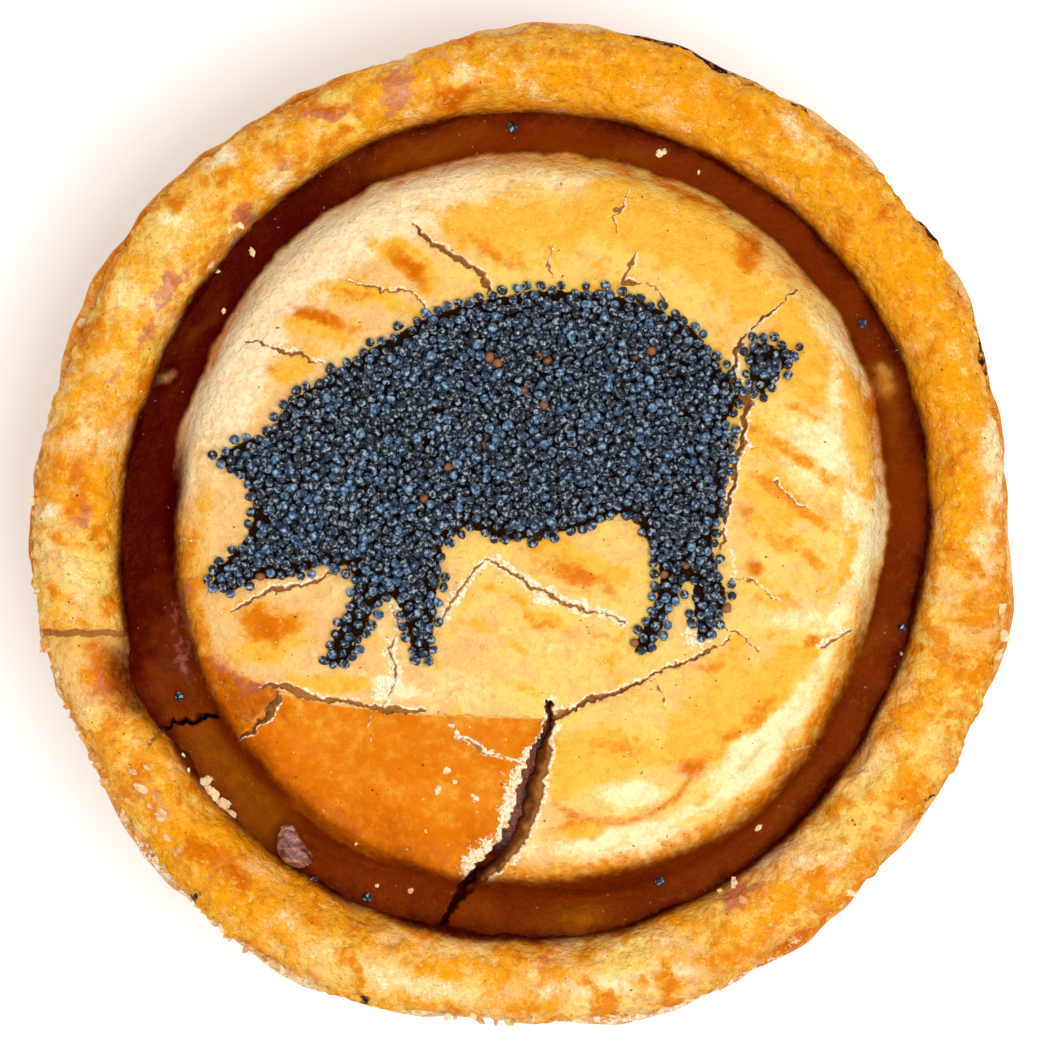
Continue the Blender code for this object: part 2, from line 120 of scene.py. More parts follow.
def lumps(x, y, cell, seed, octaves=3):
    total = np.zeros_like(x)
    for octave in range(octaves):
        turn = 0.6 + octave
        u = x * math.cos(turn) - y * math.sin(turn)
        v = x * math.sin(turn) + y * math.cos(turn)
        total += 0.5 ** octave * latticeNoise(u / cell * 2 ** octave, v / cell * 2 ** octave, seed + octave)
    return total


def step(low, high, value):
    share = np.clip((value - low) / (high - low), 0, 1)
    return share * share * (3 - 2 * share)


def ripple(angle, waves):
    return sum(size * np.cos(count * (angle - math.radians(crest))) for count, size, crest in waves)


def ringRadii(angle):
    zero = np.zeros_like(angle)
    return (
        zero,
        zero + pie["evenRadius"],
        pie["dome"] + ripple(angle, pie["domeWaves"]),
        pie["groove"] + ripple(angle, pie["grooveWaves"]),
        pie["rim"] + ripple(angle, pie["rimWaves"]),
        pie["rim"] + 50 + ripple(angle, pie["rimWaves"]),
    )


plainRadii = (0.0, pie["evenRadius"], pie["dome"], pie["groove"], pie["rim"], pie["rim"] + 50)


def between(value, lows, highs):
    # maps value from the first list of rings to the second, ring by ring
    mapped = np.zeros_like(value)
    for k in range(len(plainRadii) - 1):
        inside = (value >= lows[k]) & (value <= lows[k + 1])
        share = (value - lows[k]) / (lows[k + 1] - lows[k])
        mapped = np.where(inside, highs[k] + share * (highs[k + 1] - highs[k]), mapped)
    return mapped


def toPlain(x, y):
    return between(np.hypot(x, y), ringRadii(np.arctan2(y, x)), plainRadii)


def insideBy(x, y, outline):
    # distance in mm from the outline, positive inside it
    points = fromPhoto(outline)
    nearest = np.full(x.shape, 1e9)
    crossings = np.zeros(x.shape, int)
    for (ax, ay), (bx, by) in zip(points, np.roll(points, -1, axis=0)):
        dx, dy = bx - ax, by - ay
        along = np.clip(((x - ax) * dx + (y - ay) * dy) / (dx * dx + dy * dy), 0, 1)
        nearest = np.minimum(nearest, np.hypot(x - ax - along * dx, y - ay - along * dy))
        spans = (ay > y) != (by > y)
        crossings += spans & (x < ax + (y - ay) * dx / (dy if dy else 1e-9))
    return np.where(crossings % 2 == 1, nearest, -nearest)


# every crack: its depth and its lower side's drop in mm, the width of its pale broken edge, and its route
cracks = {
    "plateGap": (6.5, 0.0, 1.4, (
        (549, 701, 5), (552, 722, 7), (545, 738, 11), (541, 752, 18), (536, 767, 21), (530, 793, 24),
        (524, 815, 23), (516, 835, 22), (502, 856, 20), (488, 868, 17), (470, 884, 14), (459, 900, 10),
        (449, 915, 7), (438, 932, 3))),
    "plateStep": (1.6, 0.0, 0.5, (
        (260, 686, 3), (268, 683, 5), (280, 685, 7), (300, 692, 9), (330, 700, 9), (360, 705, 8),
        (385, 708, 7), (426, 711, 3))),
    "plateSide": (2.6, 0.0, 0.5, ((279, 695, 5), (274, 705, 8), (266, 718, 10), (254, 730, 9),
        (240, 739, 5))),
    "middle": (2.0, 0.5, 0.7, (
        (546, 722, 10), (558, 714, 8), (572, 708, 6), (590, 700, 7), (608, 693, 6), (622, 688, 6),
        (640, 682, 5), (656, 672, 4), (672, 667, 4), (690, 660, 3), (700, 655, 3), (730, 638, 2))),
    "middleBranch": (0.9, 0.0, 0.3, ((655, 680, 3), (662, 694, 3), (665, 715, 1))),
    "rump": (1.9, 0.3, 0.8, (
        (797, 292, 2), (782, 305, 3), (763, 317, 4), (748, 332, 3), (738, 348, 5), (733, 372, 8),
        (742, 388, 9), (747, 403, 13), (744, 429, 9), (739, 452, 7), (735, 475, 6), (730, 500, 5),
        (724, 525, 4), (721, 550, 3))),
    "rumpBack": (1.2, 0.2, 0.4, ((636, 255, 4), (632, 268, 5), (622, 280, 4), (655, 285, 3),
        (662, 300, 4))),
    "neck": (1.5, 0.4, 0.6, (
        (415, 225, 4), (424, 236, 6), (440, 247, 7), (455, 256, 6), (470, 264, 8), (483, 275, 9),
        (489, 294, 6))),
    "shoulder": (1.0, 0.3, 0.4, (
        (345, 280, 2), (362, 286, 4), (380, 290, 4), (400, 290, 3), (415, 294, 5), (424, 308, 3))),
    "face": (1.0, 0.3, 0.5, ((245, 340, 3), (262, 342, 4), (280, 352, 5), (300, 354, 5), (322, 362, 4))),
    "belly": (0.7, 0.3, 1.5, (
        (487, 558, 4), (497, 562, 6), (512, 574, 5), (530, 584, 6), (548, 592, 6), (560, 600, 6),
        (580, 606, 5), (605, 614, 5), (625, 622, 4))),
    "bellyLeft": (0.7, 0.0, 1.1, ((487, 558, 4), (474, 572, 6), (462, 588, 5), (450, 606, 5),
        (443, 622, 3))),
    "frontLegs": (0.5, 0.3, 1.4, (
        (392, 604, 3), (399, 622, 4), (397, 636, 3), (391, 650, 5), (396, 668, 5), (394, 686, 5),
        (386, 704, 3))),
    "snout": (1.1, 0.4, 0.7, (
        (230, 611, 2), (252, 600, 4), (272, 588, 5), (300, 585, 6), (322, 578, 7), (338, 568, 5))),
    "earLine": (0.5, 0.0, 0.2, ((172, 541, 2), (190, 540, 2))),
    "topA": (0.9, 0.0, 0.3, ((550, 240, 2), (553, 252, 3), (549, 264, 4), (551, 278, 3))),
    "topB": (0.9, 0.0, 0.3, ((628, 188, 3), (622, 206, 4), (615, 218, 3), (618, 232, 2))),
    "topC": (0.6, 0.0, 0.2, ((675, 205, 2), (670, 220, 3), (665, 235, 2))),
    "topD": (0.5, 0.0, 0.2, ((572, 160, 2), (568, 175, 2))),
    "topE": (0.5, 0.0, 0.2, ((520, 190, 2), (526, 205, 2), (524, 220, 1))),
    "tailA": (0.7, 0.0, 0.3, ((742, 445, 2), (765, 452, 3), (790, 468, 2))),
    "tailB": (0.7, 0.0, 0.3, ((775, 482, 3), (790, 497, 4), (812, 510, 2))),
    "hindA": (0.7, 0.0, 0.3, ((732, 578, 3), (750, 580, 3), (766, 590, 3), (780, 602, 2))),
    "hindB": (0.8, 0.0, 0.3, ((725, 628, 3), (742, 637, 4), (758, 650, 3), (768, 654, 2))),
    "edgeNick": (0.6, 0.0, 0.6, ((822, 645, 5), (836, 640, 7), (850, 630, 5))),
    "edgeCrack": (0.6, 0.0, 0.3, ((755, 740, 2), (765, 750, 3), (790, 750, 2), (830, 746, 2))),
    "plateMark": (0.5, 0.0, 0.2, ((372, 712, 2), (367, 725, 3), (372, 745, 1))),
    "plateRidge": (0.6, 0.0, 0.6, ((450, 726, 2), (462, 738, 3), (480, 750, 4), (500, 756, 3),
        (520, 765, 2))),
    "grooveTear": (6.0, 0.3, 0.2, ((170, 724, 3), (180, 723, 4), (190, 722, 6), (202, 717, 5),
        (214, 715, 6))),
    "grooveTearEnd": (5.5, 0.0, 0.2, ((146, 748, 1), (152, 739, 3), (160, 732, 4), (169, 727, 3))),
    "grooveTop": (0.5, 0.0, 0.2, ((381, 135, 2), (383, 152, 3), (392, 168, 2))),
    "grooveRight": (0.5, 0.0, 0.2, ((870, 605, 2), (898, 608, 3), (900, 628, 1))),
    "grooveLow": (0.6, 0.0, 0.2, ((690, 845, 2), (694, 862, 3), (693, 880, 2))),
    "grooveFoot": (0.7, 0.0, 0.3, ((595, 925, 5), (590, 912, 3), (560, 908, 3), (530, 908, 4),
        (515, 912, 2))),
    "grooveSpine": (0.5, 0.0, 0.2, ((545, 905, 2), (550, 928, 3), (549, 940, 2))),
}

# soft creases: depth and width in mm, and the route
creases = {
    "crescent": (0.55, 0.5, ((555, 805), (575, 815), (600, 821), (622, 823), (650, 815), (676, 798),
        (692, 775))),
    "plateCrease": (0.3, 1.6, ((300, 775), (330, 800), (370, 825), (420, 845), (460, 850))),
    "plateFoot": (0.5, 0.8, ((300, 835), (340, 858), (390, 872), (440, 880))),
    "flapRim": (0.4, 0.4, ((205, 652), (222, 668), (246, 680), (275, 688))),
    "lowerLip": (0.5, 0.7, ((470, 893), (500, 888), (540, 893), (585, 900), (640, 893))),
    "rimLine": (0.4, 0.6, ((872, 735), (840, 775), (800, 820), (770, 850), (735, 885))),
    "rimInner": (0.35, 0.8, ((640, 95), (700, 118), (745, 150), (790, 185))),
}


def nearRoute(x, y, route):
    # distance from the route, its width there, and which side of it the point is on
    points = fromPhoto([(*p, 0)[:3] for p in route])
    nearest = np.full(x.shape, 1e9)
    width = np.zeros(x.shape)
    side = np.zeros(x.shape)
    for (ax, ay, aw), (bx, by, bw) in zip(points[:-1], points[1:]):
        dx, dy = bx - ax, by - ay
        along = np.clip(((x - ax) * dx + (y - ay) * dy) / (dx * dx + dy * dy), 0, 1)
        distance = np.hypot(x - ax - along * dx, y - ay - along * dy)
        closer = distance < nearest
        nearest = np.where(closer, distance, nearest)
        width = np.where(closer, aw + along * (bw - aw), width)
        side = np.where(closer, np.sign(dx * (y - ay) - dy * (x - ax)), side)
    return nearest, width, side


crackShape = {
    "jag": 0.27, "fineJag": 0.13, "reach": 3.5, "wall": 0.1, "lip": 0.14, "lipSpread": 0.5,
    "narrow": 0.8, "shallow": 0.34, "slant": 0.85,   # one wall of each crack leans
    "deepFrom": 5, "dropSpread": 1.5, "openWidth": 0.35, "paleWidth": 0.3,
}


def readCracks(x, y):
    # how deep each point is cut, how far it is raised, how much broken crumb shows, and how near a crack is
    shape = crackShape
    jagX = lumps(x, y, 0.9, 11, 2) * shape["jag"] + lumps(x, y, 0.3, 15, 1) * shape["fineJag"]
    jagY = lumps(x, y, 0.9, 21, 2) * shape["jag"] + lumps(x, y, 0.3, 25, 1) * shape["fineJag"]
    found = {name: np.zeros(x.shape) for name in ("depth", "paint", "raise", "crumb", "crease")}
    near = np.full(x.shape, 9.0)
    uneven = np.clip(0.9 + lumps(x, y, 1.3, 27, 2) * 0.5, 0.6, 1.5)
    for depth, drop, paleEdge, route in cracks.values():
        points = fromPhoto(route)
        low, high = points[:, :2].min(axis=0) - shape["reach"], points[:, :2].max(axis=0) + shape["reach"]
        at = np.nonzero((x > low[0]) & (x < high[0]) & (y > low[1]) & (y < high[1]))[0]
        distance, width, side = nearRoute(x[at] + jagX[at], y[at] + jagY[at], route)
        if depth < shape["deepFrom"]:
            width, depth = width * shape["narrow"] * uneven[at], depth * shape["shallow"]
        off = distance - width / 2
        outside = np.clip(off, 0, 9)
        opened = np.clip(width / shape["openWidth"], 0, 1)
        leaning = 1 - shape["slant"] * step(0.1, 0.9, 0.5 + side * distance / np.maximum(width, 0.1))
        cut = depth * leaning * step(shape["wall"] / 2, -shape["wall"] / 2, off) * opened
        found["depth"][at] = np.maximum(found["depth"][at], cut)
        # paint: the share of the cut's depth, which the finish paints as shade deep in the crack
        found["paint"][at] = np.maximum(found["paint"][at], cut / max(depth, 1.1))
        lip = shape["lip"] * np.exp(-outside / shape["lipSpread"]) * opened
        dropped = np.where(side < 0, drop, 0) * np.exp(-outside / shape["dropSpread"]) * opened
        found["raise"][at] += lip - dropped
        edge = step(paleEdge * 0.55, paleEdge * 0.1, off + np.where(side < 0, 0.1, 0))
        edge = edge * np.clip(width / shape["paleWidth"], 0, 1)
        found["crumb"][at] = np.maximum(found["crumb"][at], edge)
        near[at] = np.minimum(near[at], np.abs(off))
    for depth, width, route in creases.values():
        distance, _, _ = nearRoute(x, y, route)
        dent = np.exp(-(distance / width) ** 2)
        found["raise"] -= depth * dent
        found["crease"] = np.maximum(found["crease"], dent)
    return found, near


def profileHeight(plain, points):
    # a smooth curve through the profile's (radius, height) points
    radii = np.arange(0, 60, 0.1)
    heights = np.interp(radii, *zip(*points))
    kernel = np.exp(-(np.arange(-12, 13) / 5.0) ** 2)
    padded = np.concatenate([np.full(12, heights[0]), heights, np.full(12, heights[-1])])
    return np.interp(plain, radii, np.convolve(padded, kernel / kernel.sum(), "valid"))


def topProfile():
    dome, groove, height, floor = pie["dome"], pie["groove"], pie["domeHeight"], pie["grooveHeight"]
    return (
        (0, height), (9, height - 0.1), (pie["evenRadius"], height - 0.5), (25, height - 1.1),
        (31, height - 2.0), (34.5, height - 3.1), (dome - 1.7, height - 4.6), (dome - 0.4, height - 6.8),
        (dome + 0.5, floor + 0.3), ((dome + groove) / 2, floor), (groove + 3, floor + 0.1),
    )


def foldShare(angle):
    middle, spread, _ = pie["fold"]
    turn = np.angle(np.exp(1j * (angle - math.radians(middle))))
    return np.exp(-(np.degrees(turn) / spread) ** 2)


def relief(x, y, plain):
    angle = np.arctan2(y, x)
    crest = np.exp(-((plain - pie["rim"] + 4.5) / pie["crestSpread"]) ** 2)
    groove = np.exp(-((plain - (pie["dome"] + pie["groove"]) / 2) / pie["crestSpread"]) ** 2)
    fold = foldShare(angle) * (pie["fold"][2] * groove + 2.0 * step(40, 45, plain) * (plain < 46))
    return ripple(angle, pie["rimHeightWaves"]) * crest + fold


def plainTop(x, y):
    # the lid inside the rim, before it cracked
    plain = toPlain(x, y)
    height = profileHeight(plain, topProfile()) + relief(x, y, plain)
    return height + lumps(x, y, 9.0, 3, 3) * 0.22 + lumps(x, y, 2.2, 5, 2) * 0.05


def topHeight(x, y, crackData):
    height = plainTop(x, y)
    jag = lumps(x, y, 1.1, 31, 2) * 0.22
    plate = insideBy(x, y, plateOutline) + jag
    flatness, slopeX, slopeY = platePlane
    sunk = flatness + slopeX * x + slopeY * y + lumps(x, y, 6.0, 41, 2) * 0.3
    height = height + (np.minimum(height, sunk) - height) * step(-0.06, 0.08, plate)
    height += topSheet["flapLift"] * step(-0.3, 0.5, insideBy(x, y, flapOutline) + jag)
    ribs, ribWave = readRibs(x, y)
    height += topSheet["ribHeight"] * ribs * ribWave
    for middle, (a, b, tall), turn in bumps.values():
        u, v = placed(x, y, fromPhoto([middle])[0], turn)
        u, v = u / a + lumps(x, y, 1.2, 45, 2) * 0.15, v / b
        height += tall * np.sqrt(np.clip(1 - u * u - v * v, 0, 1))
    height += crackData["raise"] - crackData["depth"]
    return height


# listed tones: middle, half length and half width in pixels, turn in degrees, strength
toneStrokes = {
    "wash": (
        (500, 225, 78, 34, -8, 1.0), (640, 222, 95, 40, -14, 1.0), (410, 262, 52, 17, -32, 1.0),
        (375, 300, 68, 12, -10, 0.9), (318, 325, 40, 20, -10, 0.9), (293, 368, 26, 22, 30, 0.8),
        (720, 270, 70, 30, -45, 1.0), (800, 340, 70, 26, -55, 0.9), (858, 440, 70, 15, -83, 0.9),
        (850, 560, 60, 13, 75, 0.8), (765, 440, 26, 16, -30, 0.9), (765, 500, 42, 14, -28, 0.8),
        (790, 545, 60, 10, -30, 0.7), (770, 600, 40, 12, -25, 0.7), (800, 390, 40, 12, -40, 0.6),
        (580, 565, 62, 22, -22, 1.0), (535, 612, 74, 9, -32, 0.8), (505, 640, 50, 8, -30, 0.7),
        (470, 600, 18, 14, 50, 0.6), (270, 622, 48, 30, -15, 0.8), (200, 560, 46, 20, -70, 0.7),
        (330, 683, 62, 12, -8, 0.9), (372, 640, 16, 22, 60, 0.5), (600, 750, 44, 28, 12, 0.8),
        (720, 700, 66, 30, 30, 0.9), (790, 665, 50, 18, 35, 0.8), (690, 745, 40, 16, 30, 0.7),
        (575, 830, 34, 14, 10, 0.9), (480, 735, 46, 16, -35, 1.0), (205, 500, 26, 20, 90, 0.5),
        (690, 800, 12, 40, -50, 0.5), (560, 775, 14, 40, 10, 0.5), (735, 655, 60, 12, 25, 0.5),
        (610, 765, 60, 26, 10, 0.9), (730, 730, 50, 22, 40, 0.8), (775, 690, 30, 20, 40, 0.7),
        (770, 480, 26, 60, 0, 0.5), (255, 650, 60, 14, 10, 0.6), (450, 660, 60, 16, -10, 0.5),
        (520, 690, 44, 10, -12, 0.5), (620, 320, 60, 14, -10, 0.6), (560, 290, 90, 10, 0, 0.5),
    ),
    "toast": (
        (408, 268, 26, 10, -35, 1.0), (316, 312, 28, 10, -22, 1.0), (748, 252, 24, 13, -50, 1.0),
        (318, 310, 12, 8, -22, 0.8), (747, 251, 14, 9, -50, 0.6), (690, 196, 60, 6, -28, 0.8),
        (790, 285, 30, 6, -50, 0.5), (270, 622, 34, 20, -10, 0.95), (748, 478, 12, 9, 0, 0.6),
        (750, 512, 10, 8, 0, 0.6), (752, 432, 12, 8, -30, 0.5), (748, 560, 14, 8, -30, 0.5),
        (580, 580, 50, 9, -24, 0.8), (693, 763, 17, 13, 20, 1.0), (735, 735, 16, 10, 40, 0.8),
        (760, 710, 14, 10, 40, 0.6), (618, 752, 30, 8, 0, 0.5), (700, 672, 40, 5, 8, 0.6),
        (752, 565, 10, 8, 0, 0.8), (756, 600, 12, 8, 0, 0.6), (540, 620, 60, 5, -32, 0.5),
        (610, 640, 50, 5, -30, 0.5), (813, 643, 12, 9, 20, 0.8), (562, 828, 20, 9, 20, 0.7),
        (636, 738, 20, 10, 0, 0.3), (365, 765, 110, 50, -8, 0.75), (330, 820, 70, 24, -35, 0.8),
        (440, 815, 50, 26, -10, 0.6), (235, 700, 38, 26, -50, 1.0), (500, 730, 22, 10, -30, 0.2),
        (208, 655, 22, 12, -60, 0.7), (205, 590, 30, 10, -70, 0.4), (185, 500, 40, 8, 90, 0.4),
        (755, 230, 16, 8, -40, 0.5), (500, 258, 32, 5, -19, 0.6), (470, 238, 30, 5, -32, 0.35),
        (358, 300, 30, 4, -8, 0.5), (345, 322, 24, 4, -14, 0.4), (274, 363, 12, 8, -40, 0.5),
    ),
    "pale": (
        (320, 235, 110, 28, 38, 1.0), (215, 380, 90, 26, 62, 1.0), (555, 172, 90, 14, 0, 0.7),
        (190, 480, 14, 60, 0, 0.6), (410, 190, 60, 18, 22, 0.8), (800, 440, 26, 50, 10, 0.6),
        (388, 688, 12, 40, 80, 1.0), (380, 625, 10, 22, 0, 0.6), (498, 820, 12, 44, 20, 0.0),
        # (880, 480) is a painted highlight along the dome's lit right edge
        (765, 735, 90, 24, 42, 1.0), (640, 850, 90, 18, 10, 0.9), (880, 480, 12, 110, 0, 0.8),
        (700, 620, 18, 22, 0, 1.0), (735, 375, 12, 30, -20, 0.7), (628, 796, 44, 12, -4, 1.0),
        (640, 710, 40, 12, 10, 0.4), (830, 450, 26, 60, -10, 0.9), (800, 620, 50, 20, 0, 0.7),
        (470, 690, 60, 30, 0, 0.4), (545, 640, 60, 30, -20, 0.4), (200, 420, 20, 60, -15, 0.4),
        (840, 350, 30, 8, -60, 0.6),
    ),
    "crumb": (
        (508, 808, 42, 12, 66, 1.0), (480, 862, 28, 11, 44, 1.0), (528, 764, 18, 7, 75, 1.0),
        (540, 588, 60, 5, -28, 0.6), (700, 630, 12, 26, 0, 0.8), (560, 706, 22, 4, 20, 0.4),
        (380, 692, 14, 14, 0, 0.9), (392, 655, 5, 22, 10, 0.9), (556, 600, 40, 4, -24, 0.5),
        (452, 596, 5, 22, -30, 0.8), (746, 384, 5, 16, 10, 0.6), (730, 560, 4, 30, 5, 0.5),
        (476, 791, 8, 5, 0, 0.7), (467, 803, 5, 4, 0, 0.5), (700, 640, 12, 14, 0, 0.6),
    ),
    "olive": (
        (228, 778, 62, 22, -54, 1.0), (262, 815, 30, 20, -50, 0.9), (575, 920, 36, 11, 0, 1.0),
        (425, 150, 52, 9, 16, 0.6), (600, 150, 50, 8, -6, 0.4), (700, 200, 60, 8, -30, 0.35),
        (890, 420, 8, 50, 0, 0.35), (480, 915, 22, 9, -8, 0.4), (885, 382, 15, 22, 20, 1.0),
        (868, 650, 8, 30, -25, 0.4), (800, 790, 40, 8, 45, 0.3), (205, 320, 6, 26, -30, 0.3),
    ),
    "flake": ((885, 382, 13, 20, 20, 1.0), (166, 378, 14, 7, 60, 1.0), (866, 746, 10, 7, 20, 0.7)),
    # painted pinkish sheen on glossy spots, such as the lit lip of the flap; the finish also gives them coat
    # gloss
    "pinkSheen": (
        (180, 620, 12, 40, 5, 0.5), (172, 655, 12, 20, 0, 0.6), (178, 600, 7, 16, 0, 0.5),
        (655, 152, 16, 5, -12, 0.4), (480, 740, 26, 9, -30, 0.35), (440, 720, 60, 5, -8, 0.3),
        (222, 668, 26, 4, -38, 0.9), (255, 683, 26, 4, -16, 0.8),
    ),
}


def readStrokes(x, y, name, strokes=None):
    # how strongly the strokes of this name show at each point
    missing = np.ones(x.shape)
    warpedX = x + lumps(x, y, 3.2, 141, 3) * 0.85
    warpedY = y + lumps(x, y, 3.2, 151, 3) * 0.85
    for px, py, longHalf, wideHalf, turn, strength in (strokes or toneStrokes)[name]:
        (cx, cy, a, b), = fromPhoto([(px, py, longHalf, wideHalf)])
        u, v = placed(warpedX, warpedY, (cx, cy), turn)
        u, v = u / a, v / b
        missing *= 1 - strength * np.exp(-(u * u + v * v) ** 1.1)
    return 1 - missing


# sides of the pie where a tone shows, in degrees: middle, half width, softness
sides = {
    "lowerRight": (-66, 52, 14), "slid": (-78, 20, 14), "leftGlaze": (204, 26, 10), "leftEdge": (200, 32, 8),
    "shade": (155, 42, 20), "golden": (60, 60, 20), "butter": (90, 40, 20), "rightRimHighlight": (-30, 68, 14),
    "leftRim": (130, 40, 14), "fold": (203, 8, 6), "rimGold": (55, 58, 20), "rimGoldLeft": (228, 16, 8),
    "rimGoldLow": (258, 20, 10), "rimGoldTop": (90, 14, 8), "rimWash": (120, 40, 20),
    "rimShaded": (-34, 42, 14), "creamTop": (140, 48, 14), "creamLow": (285, 48, 14),
    "singed": (48, 32, 8), "flaky": (258, 42, 14),
}


def window(angle, side):
    # 1 on this side of the pie, 0 elsewhere
    middle, halfWidth, soft = sides[side]
    turn = np.abs(np.degrees(np.angle(np.exp(1j * (angle - math.radians(middle))))))
    return step(halfWidth + soft, halfWidth - soft, turn)


def readRibs(x, y):
    # the low ribs right of the pig: how strongly they show, and -1 to 1 across them
    middleX, middleY, halfWide, halfTall, turn, wavelength = topSheet["ribs"]
    cx, cy = fromPhoto([(middleX, middleY)])[0]
    spread = np.exp(-(((x - cx) / halfWide) ** 2 + ((y - cy) / halfTall) ** 2) ** 1.5)
    across = (y - cy) * math.cos(turn) - (x - cx) * math.sin(turn) + lumps(x, y, 5.0, 43, 2) * 0.7
    return spread, np.cos(across * 2 * math.pi / wavelength)


# radii in mm over which a tone comes in
bands = {
    "plate": (28, 37), "lowPlate": (34.0, 41.0), "lowerEdge": (36.6, 39.5), "glazedEdge": (34.9, 37.6),
    "leftGlaze": (34.0, 37.2), "leftEdge": (36.4, 39.0), "shade": (41.6, 43.8),
    "rightRimHighlight": (33.0, 35.0), "leftRim": (30.0, 33.5),
}

# how strongly each area takes up each tone
areaTones = {
    "deep": {"groove": 1, "lowPlate": 0.72, "lowerEdge": 0.92, "leftEdge": 1, "flap": 0.35, "gap": 0.5},
    "toast": {"plateToast": 1, "foot": 1, "crease": 0.65, "glazedEdge": 0.55, "leftGlaze": 0.6,
              "flap": 0.95, "flake": 0.7},
    "wash": {"plate": 1, "glazedEdge": 0.62, "leftGlaze": 0.8},
}


def readAreas(x, y, plain, angle, crackData):
    # how far each point lies in each area of the lid, 0 to 1, with ragged edges
    ragged = lumps(x, y, 3.0, 51, 3) * 0.3
    edged, torn = plain + ragged, plain + ragged * 2
    slid = edged + 1.3 * window(angle, "slid")
    onPlate = step(-0.1, 0.3, insideBy(x, y, plateOutline))
    cloud = lumps(x, y, 5.0, 59, 2) * 0.16
    outside = step(*bands["shade"], edged)
    areas = {
        "groove": step(pie["dome"] - 0.3, pie["dome"] + 0.9, edged),
        "plate": onPlate,
        "plateToast": onPlate * (0.7 + 0.2 * step(*bands["plate"], plain) + cloud),
        "lowPlate": onPlate * step(*bands["lowPlate"], torn),
        "lowerEdge": window(angle, "lowerRight") * step(*bands["lowerEdge"], slid),
        "glazedEdge": window(angle, "lowerRight") * step(*bands["glazedEdge"], slid),
        "leftGlaze": window(angle, "leftGlaze") * step(*bands["leftGlaze"], torn),
        "leftEdge": window(angle, "leftEdge") * step(*bands["leftEdge"], edged),
        "flap": step(-0.2, 0.5, insideBy(x, y, flapOutline)),
        "gap": step(1.0, 2.0, crackData["depth"]),
        "foot": step(pie["dome"] - 1.5, pie["dome"] - 0.2, edged) * (0.5 + lumps(x, y, 4.0, 55, 2) * 0.3),
        "crease": crackData["crease"],
        "flake": readStrokes(x, y, "flake"),
        # painted shade: the groove is darker on the left and along the rim's foot
        "shade": np.maximum(window(angle, "shade"), outside * 0.8),
    }
    # painted highlight: a pale band on the dome's right shoulder, where the light falls
    rightRimHighlight = window(angle, "rightRimHighlight") * step(*bands["rightRimHighlight"], slid) * (1 - areas["glazedEdge"])
    areas["rightRimHighlight"] = rightRimHighlight * (0.85 + lumps(x, y, 2.6, 53, 2) * 0.3)
    areas["leftRim"] = window(angle, "leftRim") * step(*bands["leftRim"], torn) * 0.8
    return areas


def readTones(x, y, crackData):
    angle = np.arctan2(y, x)
    areas = readAreas(x, y, toPlain(x, y), angle, crackData)
    groove = areas["groove"]
    tones = {name: readStrokes(x, y, name) for name in toneStrokes if name != "flake"}
    tones["deep"] = np.zeros(x.shape)
    for tone, shares in areaTones.items():
        for area, share in shares.items():
            tones[tone] = np.maximum(tones[tone], areas[area] * share)
    tones["deep"] = (1 - 0.5 * areas["flake"]) * tones["deep"]
    tones["olive"] = tones["olive"] * np.maximum(groove, areas["gap"] * 0.5)
    tones["shade"] = areas["shade"]
    seeded = np.maximum(insideBy(x, y, pigOutline), insideBy(x, y, tailOutline) - 0.2)
    tones["burntAndShade"] = step(0.15, 0.9, seeded)   # painted shade: the pastry under the seeds is dark, so the gaps between them look dark
    tones["pale"] = np.maximum(tones["pale"], step(1.0, 0.0, np.abs(seeded + 0.4)) * 0.3)
    tones["pale"] = np.maximum.reduce([tones["pale"], areas["rightRimHighlight"], areas["leftRim"]]) * (1 - groove)
    tones["golden"] = 0.08 + lumps(x, y, 6.0, 57, 2) * 0.2 + 0.1 * window(angle, "golden")
    rightHalf = step(-18, 6, x + 0.4 * (20 - np.abs(y)) + lumps(x, y, 8.0, 58, 2) * 5)
    tones["butter"] = 0.12 + 0.2 * window(angle, "butter") + 0.5 * rightHalf
    ribs, ribWave = readRibs(x, y)
    tones["wash"] = np.maximum(tones["wash"], ribs * (0.3 + 0.5 * ribWave))
    tones["toast"] = np.maximum(tones["toast"], ribs * (0.15 + 0.4 * ribWave) * step(0.2, 0.8, ribWave))
    tones["crumb"] = np.maximum(crackData["crumb"] * 0.8, tones["crumb"])
    tones["depth"] = crackData["paint"]
    tones["mottled"] = 0.36 - 0.2 * np.maximum(groove, areas["plate"])
    return tones


def storeTones(mesh, tones):
    for name, values in tones.items():
        attribute = mesh.attributes.new(name, "FLOAT", "POINT")
        attribute.data.foreach_set("value", np.clip(values, 0, 1).astype(np.float32))


def newPiece(name, mesh):
    piece = bpy.data.objects.new(name, mesh)
    bpy.context.scene.collection.objects.link(piece)
    return piece


def meshFrom(body, name):
    mesh = bpy.data.meshes.new(name)
    body.to_mesh(mesh)
    body.free()
    return mesh


def coordinates(mesh):
    flat = np.empty(len(mesh.vertices) * 3, np.float32)
    mesh.vertices.foreach_get("co", flat)
    return flat.reshape(-1, 3).astype(float)


def setCoordinates(mesh, points):
    mesh.vertices.foreach_set("co", points.astype(np.float32).ravel())
    mesh.update()


